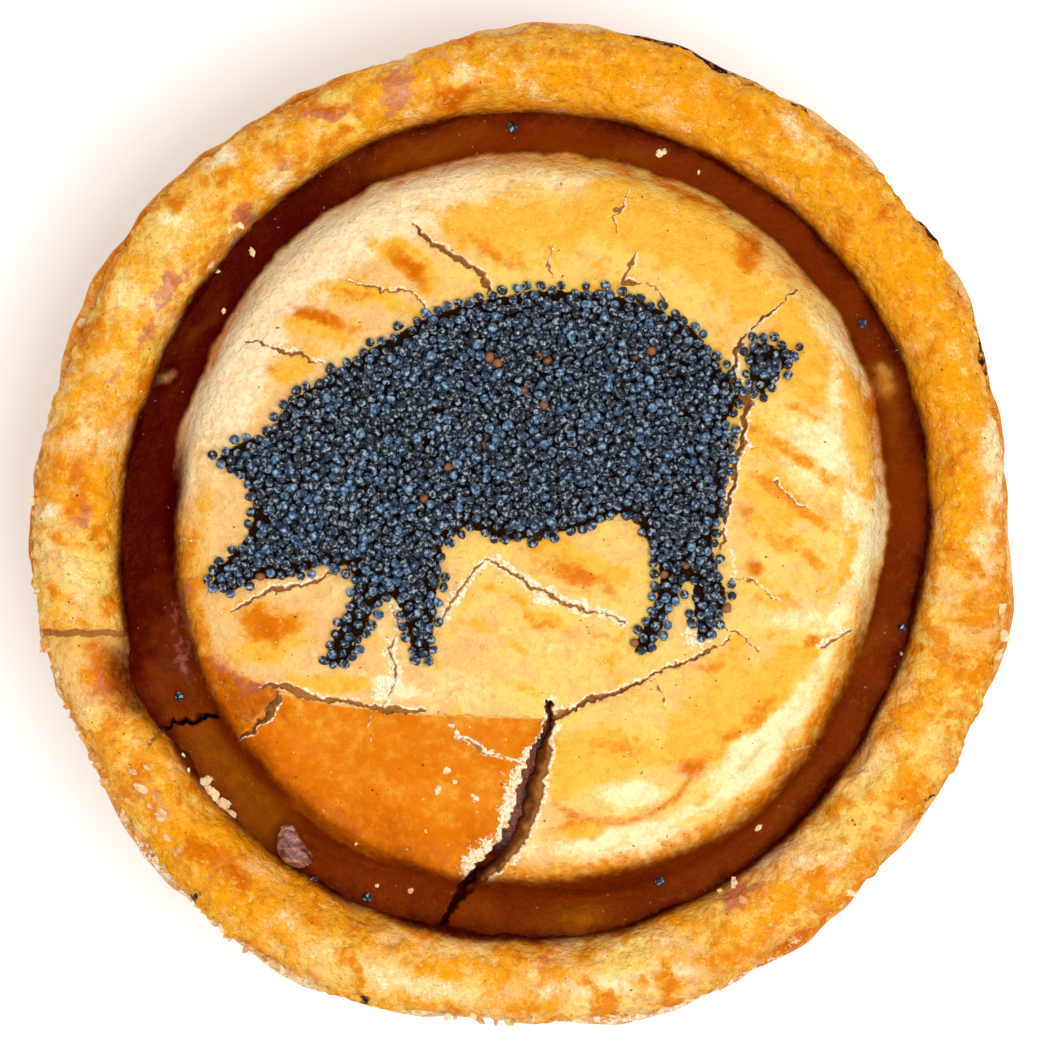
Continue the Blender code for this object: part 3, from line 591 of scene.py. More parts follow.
class Wire:
    # one output socket; sums and products of wires and numbers add the Math nodes
    def __init__(self, bench, socket):
        self.bench = bench
        self.socket = socket

    def math(self, operation, *values):
        return self.bench.add("ShaderNodeMath", {"operation": operation}, dict(enumerate(values)))

    def __add__(self, other):
        return self.math("ADD", self, other)

    def __radd__(self, other):
        return self.math("ADD", other, self)

    def __sub__(self, other):
        return self.math("SUBTRACT", self, other)

    def __rsub__(self, other):
        return self.math("SUBTRACT", other, self)

    def __mul__(self, other):
        return self.math("MULTIPLY", self, other)

    def __rmul__(self, other):
        return self.math("MULTIPLY", other, self)

    def __pow__(self, other):
        return self.math("POWER", self, other)

    def leaf(self):
        # rises from 0 to 1 and drops at once, again and again, like the edges of thin layers
        return self.math("FRACT", self)

    def between(self, low, high):
        # 0 below low, 1 above high, smooth between them
        return self.bench.add("ShaderNodeMapRange", {"interpolation_type": "SMOOTHSTEP"},
                              {0: self, 1: low, 2: high})


class Bench:
    # one node tree; add() makes a node from its type, its settings and the values or links of its sockets
    def __init__(self, tree):
        self.tree = tree

    def add(self, kind, settings=None, values=None, output=0):
        node = self.tree.nodes.new(kind)
        for key, value in (settings or {}).items():
            setattr(node, key, value)
        for key, value in (values or {}).items():
            socket = node.inputs[key]
            if isinstance(value, Wire):
                self.tree.links.new(value.socket, socket)
            else:
                socket.default_value = value
        return Wire(self, node.outputs[output])

    def attribute(self, name):
        return self.add("ShaderNodeAttribute", {"attribute_name": name}, output="Fac")

    def noise(self, place, size, detail=3.0, roughness=0.55, distortion=0.0):
        # noise from 0 to 1 with blotches of about this size in mm
        return self.add("ShaderNodeTexNoise", {}, {
            "Vector": place, "Scale": 1 / (size * mm), "Detail": detail,
            "Roughness": roughness, "Distortion": distortion}, "Fac")

    def random(self, low, high, seed):
        # a number for each instance, or a vector where low is one
        if isinstance(low, tuple):
            return self.add("FunctionNodeRandomValue", {"data_type": "FLOAT_VECTOR"},
                            {0: low, 1: high, "Seed": seed})
        return self.add("FunctionNodeRandomValue", {"data_type": "FLOAT"}, {2: low, 3: high, "Seed": seed}, 1)

    def scale(self, vector, factor):
        return self.add("ShaderNodeVectorMath", {"operation": "SCALE"}, {0: vector, "Scale": factor})

    def mix(self, share, first, second):
        values = {"Factor": share, "A": first, "B": second}
        node = self.tree.nodes.new("ShaderNodeMix")
        node.data_type = "RGBA"
        for key, value in values.items():
            socket = next(s for s in node.inputs if s.name == key and s.enabled)
            if isinstance(value, Wire):
                self.tree.links.new(value.socket, socket)
            elif key == "Factor":
                socket.default_value = value
            else:
                socket.default_value = (*value, 1.0)
        return Wire(self, next(s for s in node.outputs if s.enabled))


def seen(red, green, blue, share=0.84):
    # a colour as the photograph shows it, 0 to 255, made linear and divided by the studio's light
    return tuple((value / 255) ** 2.2 * share for value in (red, green, blue))


def newFinish(name):
    finish = bpy.data.materials.new(name)
    finish.use_nodes = True
    bench = Bench(finish.node_tree)
    shader = finish.node_tree.nodes["Principled BSDF"]
    return finish, bench, shader


def plug(bench, shader, name, wire):
    bench.tree.links.new(wire.socket, shader.inputs[name])


def plugBump(bench, shader, strength, distance, height):
    plug(bench, shader, "Normal", bench.add("ShaderNodeBump", {}, {
        "Strength": strength, "Distance": distance * mm, "Height": height}))


pastryColours = {
    "dough": seen(238, 180, 112),
    "cream": seen(244, 205, 134),
    "beige": seen(255, 234, 190),
    "butter": seen(242, 202, 94),
    "paleCream": seen(252, 236, 184),
    "golden": seen(240, 154, 14),
    "wash": seen(243, 181, 66),
    "washDeep": seen(234, 146, 20),
    "toast": seen(213, 107, 4),
    "toastDeep": seen(138, 44, 4),
    "crust": seen(206, 114, 24),
    "pinkSheen": seen(196, 108, 78),
    "syrup": seen(114, 43, 4),
    "darkSyrupAndShade": seen(70, 6, 0),
    "olive": seen(142, 76, 8),
    "crumb": seen(250, 238, 208),
    "crumbShade": seen(226, 188, 130),
    "crackWall": seen(168, 108, 54),
    "crackShadeAndPepper": seen(66, 24, 6),
    "charAndShade": seen(40, 22, 12),
}


def makePastryFinish():
    finish, bench, shader = newFinish("bakedPastry")
    colours = pastryColours
    place = bench.add("ShaderNodeTexCoord", output="Object")
    broad = bench.noise(place, 5.0, 2.0).between(0.36, 0.64)
    blotch = bench.noise(place, 2.4, 3.0, 0.62).between(0.37, 0.63)
    mottle = bench.noise(place, 1.0, 3.0, 0.65).between(0.36, 0.64)
    grain = bench.noise(place, 0.32, 1.0, 0.65).between(0.35, 0.65)
    flake = (blotch * 4.0 + mottle * 0.9).leaf()
    chip = (mottle * 2.4 + grain * 0.4 + blotch * 0.8).leaf()
    wash, toast = bench.attribute("wash"), bench.attribute("toast")
    pale, deep = bench.attribute("pale"), bench.attribute("deep")
    mottled = bench.attribute("mottled")

    creamy = (broad * 0.3 + blotch * 0.4 + mottle * 0.3).between(0.15, 0.9)
    dough = bench.mix(creamy, colours["dough"], colours["cream"])
    buttered = bench.attribute("butter") + (broad - 0.5) * 0.3 + (mottle - 0.5) * 0.25
    colour = bench.mix(buttered.between(0.2, 0.9) * 0.85, dough, colours["butter"])
    gilded = bench.attribute("golden") + (blotch - 0.5) * 0.4 + (mottle - 0.5) * 0.2
    gilded = gilded + ((flake - 0.5) * 0.5 + (chip - 0.5) * 0.3) * mottled
    colour = bench.mix(gilded.between(0.2, 0.72) * 0.98, colour, colours["golden"])
    whitened = pale + (mottle - 0.5) * 0.25 + (grain - 0.5) * 0.08 + (chip - 0.5) * mottled * 0.6
    paleTone = bench.mix(bench.attribute("butter").between(0.2, 0.6), colours["beige"], colours["paleCream"])
    colour = bench.mix(whitened.between(0.3, 0.95) * 0.92, colour, paleTone)
    washed = (wash + (blotch - 0.5) * 0.22 + (mottle - 0.5) * 0.12).between(0.28, 0.7)
    cloudy = ((blotch - 0.5) * 0.5 + (mottle - 0.5) * 0.35 + (chip - 0.5) * 0.2) * (mottled + 0.4)
    cloudy = (cloudy + 0.3 + toast * 0.65).between(0.2, 1.0)
    washTone = bench.mix(cloudy, colours["wash"], colours["washDeep"])
    colour = bench.mix(washed * 0.98, colour, washTone)
    toasted = toast + (blotch - 0.5) * 0.18 + (mottle - 0.5) * 0.12
    colour = bench.mix(toasted.between(0.14, 0.95) * 0.98, colour, colours["toast"])
    colour = bench.mix((toast + (mottle - 0.5) * 0.12).between(0.8, 1.3) * 0.7, colour, colours["toastDeep"])

    spots = bench.noise(place, 1.1, 2.0, 0.7)
    darkSpots = spots.between(0.52, 0.7)
    lightSpots = spots.between(0.45, 0.34)
    freckles = bench.noise(place, 0.35, 1.0).between(0.62, 0.7)
    colour = bench.mix(darkSpots * mottled * 0.55, colour, colours["crust"])
    colour = bench.mix(lightSpots * mottled * 0.5, colour, colours["butter"])
    colour = bench.mix(freckles * mottled * 0.5, colour, colours["crust"])

    # painted pinkish sheen; the same tone also raises the coat gloss below
    pinkSheenMask = bench.attribute("pinkSheen") + (mottle - 0.5) * 0.5
    colour = bench.mix(pinkSheenMask.between(0.3, 0.8) * 0.75, colour, colours["pinkSheen"])
    crumbTone = (grain * 0.6 + mottle * 0.4).between(0.2, 0.7)
    crumbTone = bench.mix(crumbTone, colours["crumbShade"], colours["crumb"])
    crumb = (bench.attribute("crumb") + (mottle - 0.5) * 0.4 + (grain - 0.5) * 0.2).between(0.35, 0.65)
    colour = bench.mix(crumb * 0.9, colour, crumbTone)
    colour = bench.mix(bench.attribute("depth").between(0.02, 0.12), colour, colours["crackWall"])
    # the syrup's own dark mottling, and painted shade where the shade tone is high
    syrup = bench.mix((broad * 0.3 + mottle * 0.15 + bench.attribute("shade") * 0.75).between(0.1, 1.0),
                      colours["syrup"], colours["darkSyrupAndShade"])
    syrup = bench.mix(bench.attribute("olive") * (0.55 + blotch * 0.45), syrup, colours["olive"])
    syrup = bench.mix(pinkSheenMask.between(0.4, 0.9) * deep * 0.35, syrup, colours["pinkSheen"])
    sunk = (deep + (mottle - 0.5) * 0.08).between(0.08, 0.92)
    colour = bench.mix(sunk, colour, syrup)
    # painted shade deep in the cracks, darkest where the cut is deepest
    colour = bench.mix(bench.attribute("depth").between(0.5, 1.0), colour, colours["crackShadeAndPepper"])
    # burnt edges of the rim and wall, and painted shade under the seeds on the lid
    burntAndShade = (bench.attribute("burntAndShade") + (mottle - 0.5) * 0.4).between(0.35, 0.7)
    colour = bench.mix(burntAndShade, colour, colours["charAndShade"])
    specksAndGlints = bench.noise(place, 0.45, 0.0)
    colour = bench.mix(specksAndGlints.between(0.83, 0.86) * 0.75, colour, colours["crackShadeAndPepper"])
    # painted glints: tiny pale specks, fewer in the groove
    colour = bench.mix(specksAndGlints.between(0.17, 0.14) * (1 - sunk * 0.7) * 0.5, colour, colours["paleCream"])
    plug(bench, shader, "Base Color", colour)

    plug(bench, shader, "Roughness", 0.6 - washed * 0.18 - sunk * 0.22 + crumb * 0.2 + (mottle - 0.5) * 0.14)
    glossy = washed * (1 - sunk) * 0.04 + bench.attribute("pinkSheen") * 0.3
    plug(bench, shader, "Coat Weight", glossy * (0.5 + mottle))
    plugBump(bench, shader, 0.8, 0.22, blotch * 0.25 + mottle * 0.32 + flake * mottled * 0.42)
    shader.inputs["Coat Roughness"].default_value = 0.2
    shader.inputs["Specular IOR Level"].default_value = 0.06
    shader.inputs["Specular Tint"].default_value = (1.0, 0.45, 0.15, 1.0)
    return finish


topSheet = {
    "cells": 178, "reach": 45.4, "fine": 1.3, "finest": 0.3, "domeEdge": 1.3, "floor": 29.0,
    "flapLift": 0.5, "ribHeight": 0.16,
    "ribs": (790, 500, 6.5, 13.0, math.radians(-32), 4.5),   # middle in pixels, half sizes, turn, wavelength
}

# small humps on the sheet: middle in pixels, half sizes and height in mm, turn in degrees
bumps = {
    "drip": ((166, 378), (1.7, 1.0, 0.9), 60),
    "driedDrip": ((866, 746), (1.1, 0.9, 0.5), 20),
    "curl": ((291, 715), (1.5, 0.7, 0.8), -28),
    "edgeCrumb": ((563, 738), (0.9, 0.7, 0.6), 15),
    "redFlake": ((885, 382), (1.4, 1.8, 0.35), 20),
    "olivePatch": ((574, 920), (3.0, 1.2, 0.25), 0),
}


def makeTop(finish):
    # dome, sunken plate and groove as one sheet, finer along the cracks
    body = bmesh.new()
    reach = topSheet["reach"]
    bmesh.ops.create_grid(body, x_segments=topSheet["cells"], y_segments=topSheet["cells"], size=reach)
    outside = [v for v in body.verts if v.co.xy.length > reach]
    bmesh.ops.delete(body, geom=outside, context="VERTS")

    def refine(limit, alsoDomeEdge):
        body.edges.ensure_lookup_table()
        middles = np.array([(e.verts[0].co + e.verts[1].co).to_tuple() for e in body.edges]) / 2
        x, y = middles[:, 0], middles[:, 1]
        _, near = readCracks(x, y)
        near = np.minimum(near, np.abs(insideBy(x, y, plateOutline)))
        wanted = near < limit
        if alsoDomeEdge:
            wanted |= np.abs(toPlain(x, y) - pie["dome"] + 0.3) < topSheet["domeEdge"]
        wanted &= np.maximum(insideBy(x, y, pigOutline), insideBy(x, y, tailOutline)) < 0.4
        chosen = [body.edges[i] for i in np.nonzero(wanted)[0]]
        bmesh.ops.subdivide_edges(body, edges=chosen, cuts=1, use_grid_fill=True)

    refine(topSheet["fine"], True)
    refine(topSheet["finest"], False)
    rimEdges = [e for e in body.edges if e.is_boundary]
    bmesh.ops.extrude_edge_only(body, edges=rimEdges)
    lowEdges = [e for e in body.edges if e.is_boundary]
    lowVerts = {v for e in lowEdges for v in e.verts}
    for vertex in lowVerts:
        vertex.co.z = -1.0
    bmesh.ops.edgeloop_fill(body, edges=lowEdges)
    bmesh.ops.triangulate(body, faces=[f for f in body.faces if len(f.verts) > 4])
    bmesh.ops.recalc_face_normals(body, faces=body.faces)
    mesh = meshFrom(body, "pastryTop")
    points = coordinates(mesh)
    x, y, below = points[:, 0].copy(), points[:, 1].copy(), points[:, 2] < -0.5
    crackData, _ = readCracks(x, y)
    points[:, 2] = np.where(below, topSheet["floor"], topHeight(x, y, crackData))
    setCoordinates(mesh, points * mm)
    storeTones(mesh, readTones(x, y, crackData))
    mesh.shade_smooth()
    mesh.materials.append(finish)
    return newPiece("pastryTop", mesh)


def resample(profile, stepAlong):
    # points at even distances along the profile; stepAlong gives the distance in mm at a radius and height
    result = [profile[0]]
    for (r0, z0), (r1, z1) in zip(profile[:-1], profile[1:]):
        length = math.hypot(r1 - r0, z1 - z0)
        size = stepAlong((r0 + r1) / 2, (z0 + z1) / 2)
        count = max(1, round(length / size))
        result += [(r0 + (r1 - r0) * k / count, z0 + (z1 - z0) * k / count) for k in range(1, count + 1)]
    return np.array(result)


def smoothed(profile, passes):
    # rounds the profile's corners, keeping its two ends
    for _ in range(passes):
        profile = np.concatenate([
            profile[:1], (profile[:-2] + 2 * profile[1:-1] + profile[2:]) / 4, profile[-1:]])
    return profile


def ringSolid(name, profile, around, closed, shape):
    # a solid of rings; shape gives how far each point moves along its normal, and how far it is lifted
    count = len(profile)
    ahead, behind = np.roll(profile, -1, axis=0), np.roll(profile, 1, axis=0)
    if not closed:
        ahead[-1], behind[0] = profile[-1], profile[0]
    tangent = ahead - behind
    normal = np.stack([-tangent[:, 1], tangent[:, 0]], axis=1)
    normal /= np.linalg.norm(normal, axis=1)[:, None]
    angle = np.repeat(np.arange(around) * 2 * math.pi / around, count)
    plain, z = np.tile(profile[:, 0], around), np.tile(profile[:, 1], around)
    away, lift = shape(angle, plain, z)
    plain = plain + np.tile(normal[:, 0], around) * away
    z = z + np.tile(normal[:, 1], around) * away + lift
    radius = between(plain, plainRadii, ringRadii(angle))
    points = np.stack([radius * np.cos(angle), radius * np.sin(angle), z], axis=1)
    i, j = np.meshgrid(np.arange(around), np.arange(count if closed else count - 1), indexing="ij")
    nextI, nextJ = (i + 1) % around, (j + 1) % count
    faces = np.stack([i * count + j, nextI * count + j, nextI * count + nextJ, i * count + nextJ], axis=-1)
    mesh = bpy.data.meshes.new(name)
    mesh.vertices.add(len(points))
    mesh.vertices.foreach_set("co", (points * mm).astype(np.float32).ravel())
    flat = faces.reshape(-1, 4)
    mesh.loops.add(flat.size)
    mesh.loops.foreach_set("vertex_index", flat.ravel().astype(np.int32))
    mesh.polygons.add(len(flat))
    mesh.polygons.foreach_set("loop_start", np.arange(0, flat.size, 4, dtype=np.int32))
    mesh.update(calc_edges=True)
    body = bmesh.new()
    body.from_mesh(mesh)
    poles = [v for v in body.verts if v.co.xy.length < 0.02 * mm]
    bmesh.ops.remove_doubles(body, verts=poles, dist=0.05 * mm)
    bmesh.ops.recalc_face_normals(body, faces=body.faces)
    body.to_mesh(mesh)
    body.free()
    mesh.shade_smooth()
    return mesh


rimSettings = {
    "around": 1000, "step": 0.32, "coarse": 1.2, "flake": 0.15, "flakeSize": 4.0, "dimple": 0.22,
    "flakeLevels": (-0.5, -0.1, 0.3, 0.7), "leaf": 0.24, "crackDepth": 0.45,
    "seamAt": -11.35, "seamDrop": 1.1,
}

# tones of the rim, listed like those of the top
rimStrokes = {
    "burntAndShade": (
        (192, 897, 13, 9, 40, 1.0), (366, 1003, 12, 6, 20, 0.9), (1001, 655, 7, 24, -12, 0.7),
        (936, 800, 8, 16, -40, 0.7), (905, 843, 12, 6, -45, 0.7), (240, 206, 8, 5, 40, 0.5),
        (148, 742, 8, 4, -40, 0.4), (830, 143, 9, 5, -30, 0.4),
    ),
    # painted pinkish sheen on the glossy inner shoulder of the rim
    "pinkSheen": (
        (322, 116, 26, 7, 15, 1.0), (286, 165, 18, 8, 45, 0.6), (176, 285, 10, 24, -25, 1.0),
        (152, 330, 8, 20, -20, 0.9), (110, 385, 6, 30, -15, 0.5), (81, 515, 8, 14, 0, 0.9),
        (396, 92, 12, 26, -12, 1.0), (240, 210, 14, 9, 40, 1.0), (435, 62, 30, 14, 10, 0.4),
        (215, 245, 16, 12, 50, 0.5), (740, 897, 22, 12, 20, 1.0), (545, 960, 14, 14, 0, 0.7),
        (100, 690, 20, 14, -50, 0.5), (150, 800, 22, 18, -50, 0.5),
    ),
    "toast": (
        (322, 110, 44, 12, 12, 1.0), (452, 95, 38, 14, 6, 1.0), (170, 272, 20, 14, -40, 0.5),
        (80, 480, 12, 30, 0, 0.8), (78, 515, 12, 20, 0, 0.6), (835, 145, 16, 8, -40, 0.9),
        (600, 75, 60, 18, -5, 0.35), (740, 110, 90, 12, -28, 0.5), (870, 190, 60, 10, -45, 0.4),
        (905, 330, 10, 60, 10, 0.5), (940, 430, 12, 70, 0, 0.5), (935, 560, 12, 60, -8, 0.5),
        (975, 600, 16, 40, -8, 0.5), (948, 650, 22, 22, 0, 0.6), (900, 720, 14, 60, -32, 0.5),
        (105, 665, 26, 40, 30, 0.9), (120, 700, 30, 22, -50, 0.9), (195, 850, 26, 16, -45, 0.9),
        (235, 885, 26, 16, -40, 0.7), (330, 910, 16, 8, -20, 0.7), (740, 897, 26, 16, 20, 0.9),
        (240, 207, 14, 8, 40, 1.0), (600, 930, 60, 6, -2, 0.6), (955, 300, 12, 30, 20, 0.5),
        (870, 105, 40, 6, -38, 0.7), (950, 240, 12, 50, 30, 0.5), (985, 360, 6, 40, 10, 0.4),
        (130, 770, 30, 14, -60, 0.4), (880, 860, 50, 8, 45, 0.5), (228, 868, 36, 13, -48, 0.8),
        (405, 958, 40, 9, -14, 0.4),
    ),
    "pale": (
        (330, 135, 40, 9, 20, 0.6), (250, 200, 26, 14, 45, 0.4), (90, 420, 12, 40, -10, 0.7),
        (75, 580, 18, 30, 0, 0.6), (50, 470, 8, 60, 0, 0.3), (470, 55, 60, 10, 8, 0.5),
        # (998, 470) is a painted highlight on the rim's lit right outer side
        (600, 50, 60, 10, 0, 0.4), (790, 125, 22, 12, -40, 0.8), (998, 470, 15, 80, -3, 1.0),
        (985, 560, 14, 50, 5, 0.7), (905, 650, 14, 40, -25, 0.6), (880, 760, 18, 60, -40, 0.5),
        (760, 860, 60, 12, 30, 0.7), (620, 985, 90, 18, 3, 0.8), (420, 985, 80, 16, -10, 0.7),
        (330, 950, 60, 14, -22, 0.5), (540, 945, 50, 10, 0, 0.5), (820, 900, 30, 14, 40, 0.4),
        (75, 620, 40, 6, 0, 0.4), (660, 95, 40, 8, -10, 0.5), (780, 190, 50, 7, -45, 0.6),
    ),
}


def belowSeam(x, y):
    # distance in mm below the seam at the rim's left
    return rimSettings["seamAt"] + 0.1 * np.sin(x * 2.1) - y


def makeRim(finish):
    groove, rim, seam = pie["groove"], pie["rim"], pie["seam"]
    height, floor = pie["rimHeight"], pie["grooveHeight"]
    outline = (
        (groove - 0.6, floor - 1.4), (groove - 0.5, floor + 0.4), (groove + 0.2, floor + 2.3),
        (groove + 1.2, height - 1.8), (groove + 2.9, height - 0.5), (groove + 5.2, height),
        (rim - 2.3, height - 0.8), (rim - 1.0, height - 2.3), (rim - 0.6, height - 3.6),
        (rim - 1.0, seam + 0.1), (rim - 4, seam - 0.1), (groove + 1.2, seam - 1.0),
        (groove - 0.1, floor - 1.4),
    )

    def stepAt(radius, z):
        return rimSettings["coarse"] if z < seam and radius < rim - 1.5 else rimSettings["step"]

    profile = smoothed(resample(outline, stepAt), 4)

    def shape(angle, plain, z):
        x, y = plain * np.cos(angle), plain * np.sin(angle)
        arc = angle / (2 * math.pi)
        upper = step(seam + 0.2, seam + 1.2, z)
        layers = lumps(x, y, rimSettings["flakeSize"], 61, 3)
        flakes = sum(step(level, level + 0.04, layers) for level in rimSettings["flakeLevels"]) - 2
        away = flakes * rimSettings["flake"] + lumps(x, y, 5.0, 75, 2) * 0.2
        dimples = np.abs(lumps(x, y, 1.9, 71, 3)) - 0.4
        away += dimples * rimSettings["dimple"] + lumps(x, y, 0.8, 77, 2) * 0.07
        side = step(rim - 1.8, rim - 0.8, plain) * upper
        leaf = latticeNoise(arc * 220, z * 2.4, 81, 220) + latticeNoise(arc * 90, z * 4.5, 82, 90)
        away += side * leaf * rimSettings["leaf"]
        crackData, _ = readCracks(x, y)
        away += (crackData["raise"] * 0.5 - np.minimum(crackData["depth"], rimSettings["crackDepth"])) * upper
        crest = np.exp(-((plain - rim + 4.5) / pie["crestSpread"]) ** 2)
        lift = ripple(angle, pie["rimHeightWaves"]) * crest
        below = belowSeam(x, y)
        dropped = step(-0.12, 0.12, below) * np.exp(-np.clip(below, 0, 99) / 7) * (x < -30)
        lift += -rimSettings["seamDrop"] * dropped * step(groove + 0.5, groove + 3, plain) * upper
        return away * step(floor - 1.2, floor + 0.5, z), lift

    mesh = ringSolid("pastryRim", profile, rimSettings["around"], True, shape)
    points = coordinates(mesh) / mm
    x, y, z = points.T
    angle, plain = np.arctan2(y, x), toPlain(x, y)
    crackData, _ = readCracks(x, y)
    tones = readTones(x, y, crackData)
    blotch = lumps(x, y, 5.0, 91, 3)
    patch = lumps(x, y, 2.6, 93, 3)
    for name in rimStrokes:
        tones[name] = readStrokes(x, y, name, rimStrokes)
    below = belowSeam(x, y)
    patched = step(-0.1, 0.1, below) * step(4.5, 1.5, below) * (x < -38)
    # painted shadow: a thin dark line under the step at the seam
    seamShadowLine = np.exp(-((below - 0.1) / 0.2) ** 2) * (x < -41) * step(seam, seam + 1, z)
    inner = step(groove + 0.9, groove - 0.7, plain + blotch * 0.25)
    foldTone = window(angle, "fold") * step(49.0, 43.5, plain + blotch) * step(-0.2, 0.4, below)
    tones["deep"] = np.maximum(inner, 0.8 * foldTone)
    tones["butter"] = 0.65 + 0.4 * lumps(x, y, 7.0, 99, 2)
    tones["golden"] = (
        0.45 + blotch * 0.4 + 0.55 * window(angle, "rimGold") + 0.4 * window(angle, "rimGoldLeft")
        + 0.15 * window(angle, "rimGoldLow") + 0.3 * window(angle, "rimGoldTop") - 0.2 * patched)
    tones["wash"] = (0.3 + patch * 0.45 + 0.12 * window(angle, "rimWash")) * (1 - patched)
    outer = step(rim - 2.6, rim - 0.8, plain)
    # painted shade: toast colour on the outer slope of the rim's lower right
    shaded = window(angle, "rimShaded") * step(rim - 6.5, rim - 2.5, plain + patch * 0.9) * 0.5
    tones["toast"] = np.maximum.reduce([
        tones["toast"], 0.1 + patch * 0.48, outer * (0.3 + patch * 0.3), shaded,
        step(groove + 1.5, groove + 0.5, plain + patch * 0.5) * 0.5, patched * 0.42])
    creamy = 0.38 + 0.37 * window(angle, "creamTop") + 0.4 * window(angle, "creamLow")
    creamy *= 0.25 + lumps(x, y, 3.0, 97, 3) * 0.75
    tones["pale"] = np.maximum(tones["pale"], creamy) * (1 - patched)
    singed = window(angle, "singed") * step(rim - 0.8, rim - 0.4, plain + patch * 0.5) * 0.7
    tones["burntAndShade"] = np.maximum(tones["burntAndShade"] * 0.75 * step(rim - 3.0, rim - 1.2, plain + patch), singed)
    tones["crumb"] = step(seam + 2.0, seam + 0.6, z) * window(angle, "flaky") * 0.65 * (plain > rim - 6)
    # the cracks' paint, and the painted shadow line under the seam
    tones["depth"] = np.maximum(np.minimum(crackData["paint"], 0.6), seamShadowLine * 0.55)
    # painted shade on the rim's sunk inner foot, darkest on the left
    tones["shade"] = np.maximum(window(angle, "shade"), 0.7)
    tones["mottled"] = (0.65 + 0.35 * outer) * (1 - 0.5 * patched)
    storeTones(mesh, tones)
    mesh.materials.append(finish)
    return newPiece("pastryRim", mesh)


wallSettings = {"around": 640, "step": 0.45, "coarse": 2.5}


def makeWall(finish):
    base, groove, rim, crust = pie["base"], pie["groove"], pie["rim"], pie["crust"]
    top = pie["seam"] - pie["gap"]
    outline = (
        (0.0, crust), (base - crust - 0.6, crust), (base - crust + 0.8, crust + 1.2),
        (groove + 0.9, pie["grooveHeight"] - crust + 0.3), (groove + 2.5, top), (rim - 0.5, top),
        (rim, top - 1.1), (rim - 0.7, top - 2.6), (groove + 5.4, top - 4.0), (groove + 4.0, top - 6.0),
        (groove + 2.2, 19.0), (groove + 0.4, 11.0), (base + 1.0, 2.0), (base - 0.8, 0.0), (0.0, 0.0),
    )

    def middleLine(z):
        return (base - crust / 2) + (groove + 3 - base) * z / top

    def stepAt(radius, z):
        outer = radius > middleLine(z) and z > 0.5
        return wallSettings["step"] if outer else wallSettings["coarse"]

    profile = smoothed(resample(outline, stepAt), 2)
    profile[-1] = (0.0, 0.0)

    def shape(angle, plain, z):
        arc = angle / (2 * math.pi)
        outer = (plain > middleLine(z)) * step(0.3, 2.0, z)
        edge = step(top - 3.2, top - 2.0, z)
        away = outer * (
            latticeNoise(arc * 28, z / 11, 101, 28) * 0.45 + latticeNoise(arc * 90, z / 3.2, 102, 90) * 0.16
            + latticeNoise(arc * 280, z / 0.9, 103, 280) * 0.06)
        leaf = latticeNoise(arc * 200, z * 2.2, 104, 200) * 0.08
        frill = ripple(angle, pie["frillWaves"]) + latticeNoise(arc * 110, z * 0 + 3, 105, 110) * 0.3 + leaf
        return away * (1 - edge) + outer * edge * frill * step(rim - 4, rim - 1, plain), np.zeros(z.shape)

    mesh = ringSolid("pastryWall", profile, wallSettings["around"], False, shape)
    points = coordinates(mesh) / mm
    x, y, z = points.T
    angle = np.arctan2(y, x)
    arc = angle / (2 * math.pi)
    patch = latticeNoise(arc * 26, z / 7, 111, 26) + 0.5 * latticeNoise(arc * 70, z / 3, 112, 70)
    none = np.zeros(x.shape)
    edge = step(top - 3.2, top - 1.5, z)
    tones = {
        "golden": 0.45 + patch * 0.3, "butter": none, "mottled": none + 1,
        "wash": 0.2 + patch * 0.3,
        "toast": 0.3 + patch * 0.35 + 0.35 * step(12, 0, z) + edge * 0.2,
        "pale": np.maximum(0, -patch) * 0.5,
        "burntAndShade": edge * window(angle, "singed") * (0.5 + patch * 0.5),
        "crumb": edge * window(angle, "flaky") * (0.55 + patch * 0.25),
        "deep": none, "olive": none, "depth": none, "shade": none, "pinkSheen": none,
    }
    storeTones(mesh, tones)
    mesh.materials.append(finish)
    return newPiece("pastryWall", mesh)


def makeFillingFinish():
    finish, bench, shader = newFinish("cookedFilling")
    place = bench.add("ShaderNodeTexCoord", output="Object")
    chunk = bench.noise(place, 2.5, 3.0, 0.5, 1.0)
    grain = bench.noise(place, 0.5, 3.0)
    colour = bench.mix(chunk.between(0.35, 0.65), seen(74, 22, 8), seen(150, 62, 20))
    colour = bench.mix(grain.between(0.6, 0.75) * 0.6, colour, seen(190, 110, 50))
    plug(bench, shader, "Base Color", colour)
    plug(bench, shader, "Roughness", 0.55 - chunk * 0.3)
    plugBump(bench, shader, 0.8, 0.5, chunk + grain * 0.5)
    return finish


def makeFilling(finish):
    base, groove, dome, crust, gap = pie["base"], pie["groove"], pie["dome"], pie["crust"], pie["gap"]
    height = pie["domeHeight"] - crust - gap
    floor = pie["grooveHeight"] - crust - gap
    outline = (
        (0.0, height), (pie["evenRadius"], height - 0.7), (dome - 4.2, height - 3.6), (dome - 0.9, floor),
        (groove + 0.1, floor), (base - crust + 0.3, crust + 1.4 + gap), (base - crust - 1.0, crust + gap),
        (0.0, crust + gap),
    )
    profile = resample(outline, lambda radius, z: 0.8 if z > 20 else 3.0)

    def shape(angle, plain, z):
        x, y = plain * np.cos(angle), plain * np.sin(angle)
        upper = step(26, 29, z)
        return lumps(x, y, 2.4, 121, 3) * 0.3 * upper - 0.3 * upper, np.zeros(z.shape)

    mesh = ringSolid("meatFilling", profile, 300, False, shape)
    mesh.materials.append(finish)
    return newPiece("meatFilling", mesh)


baconSettings = {"middle": (-24.3, -34.3, 33.7), "half": (2.6, 1.5, 1.4), "turn": -57.0, "tilt": 14.0}


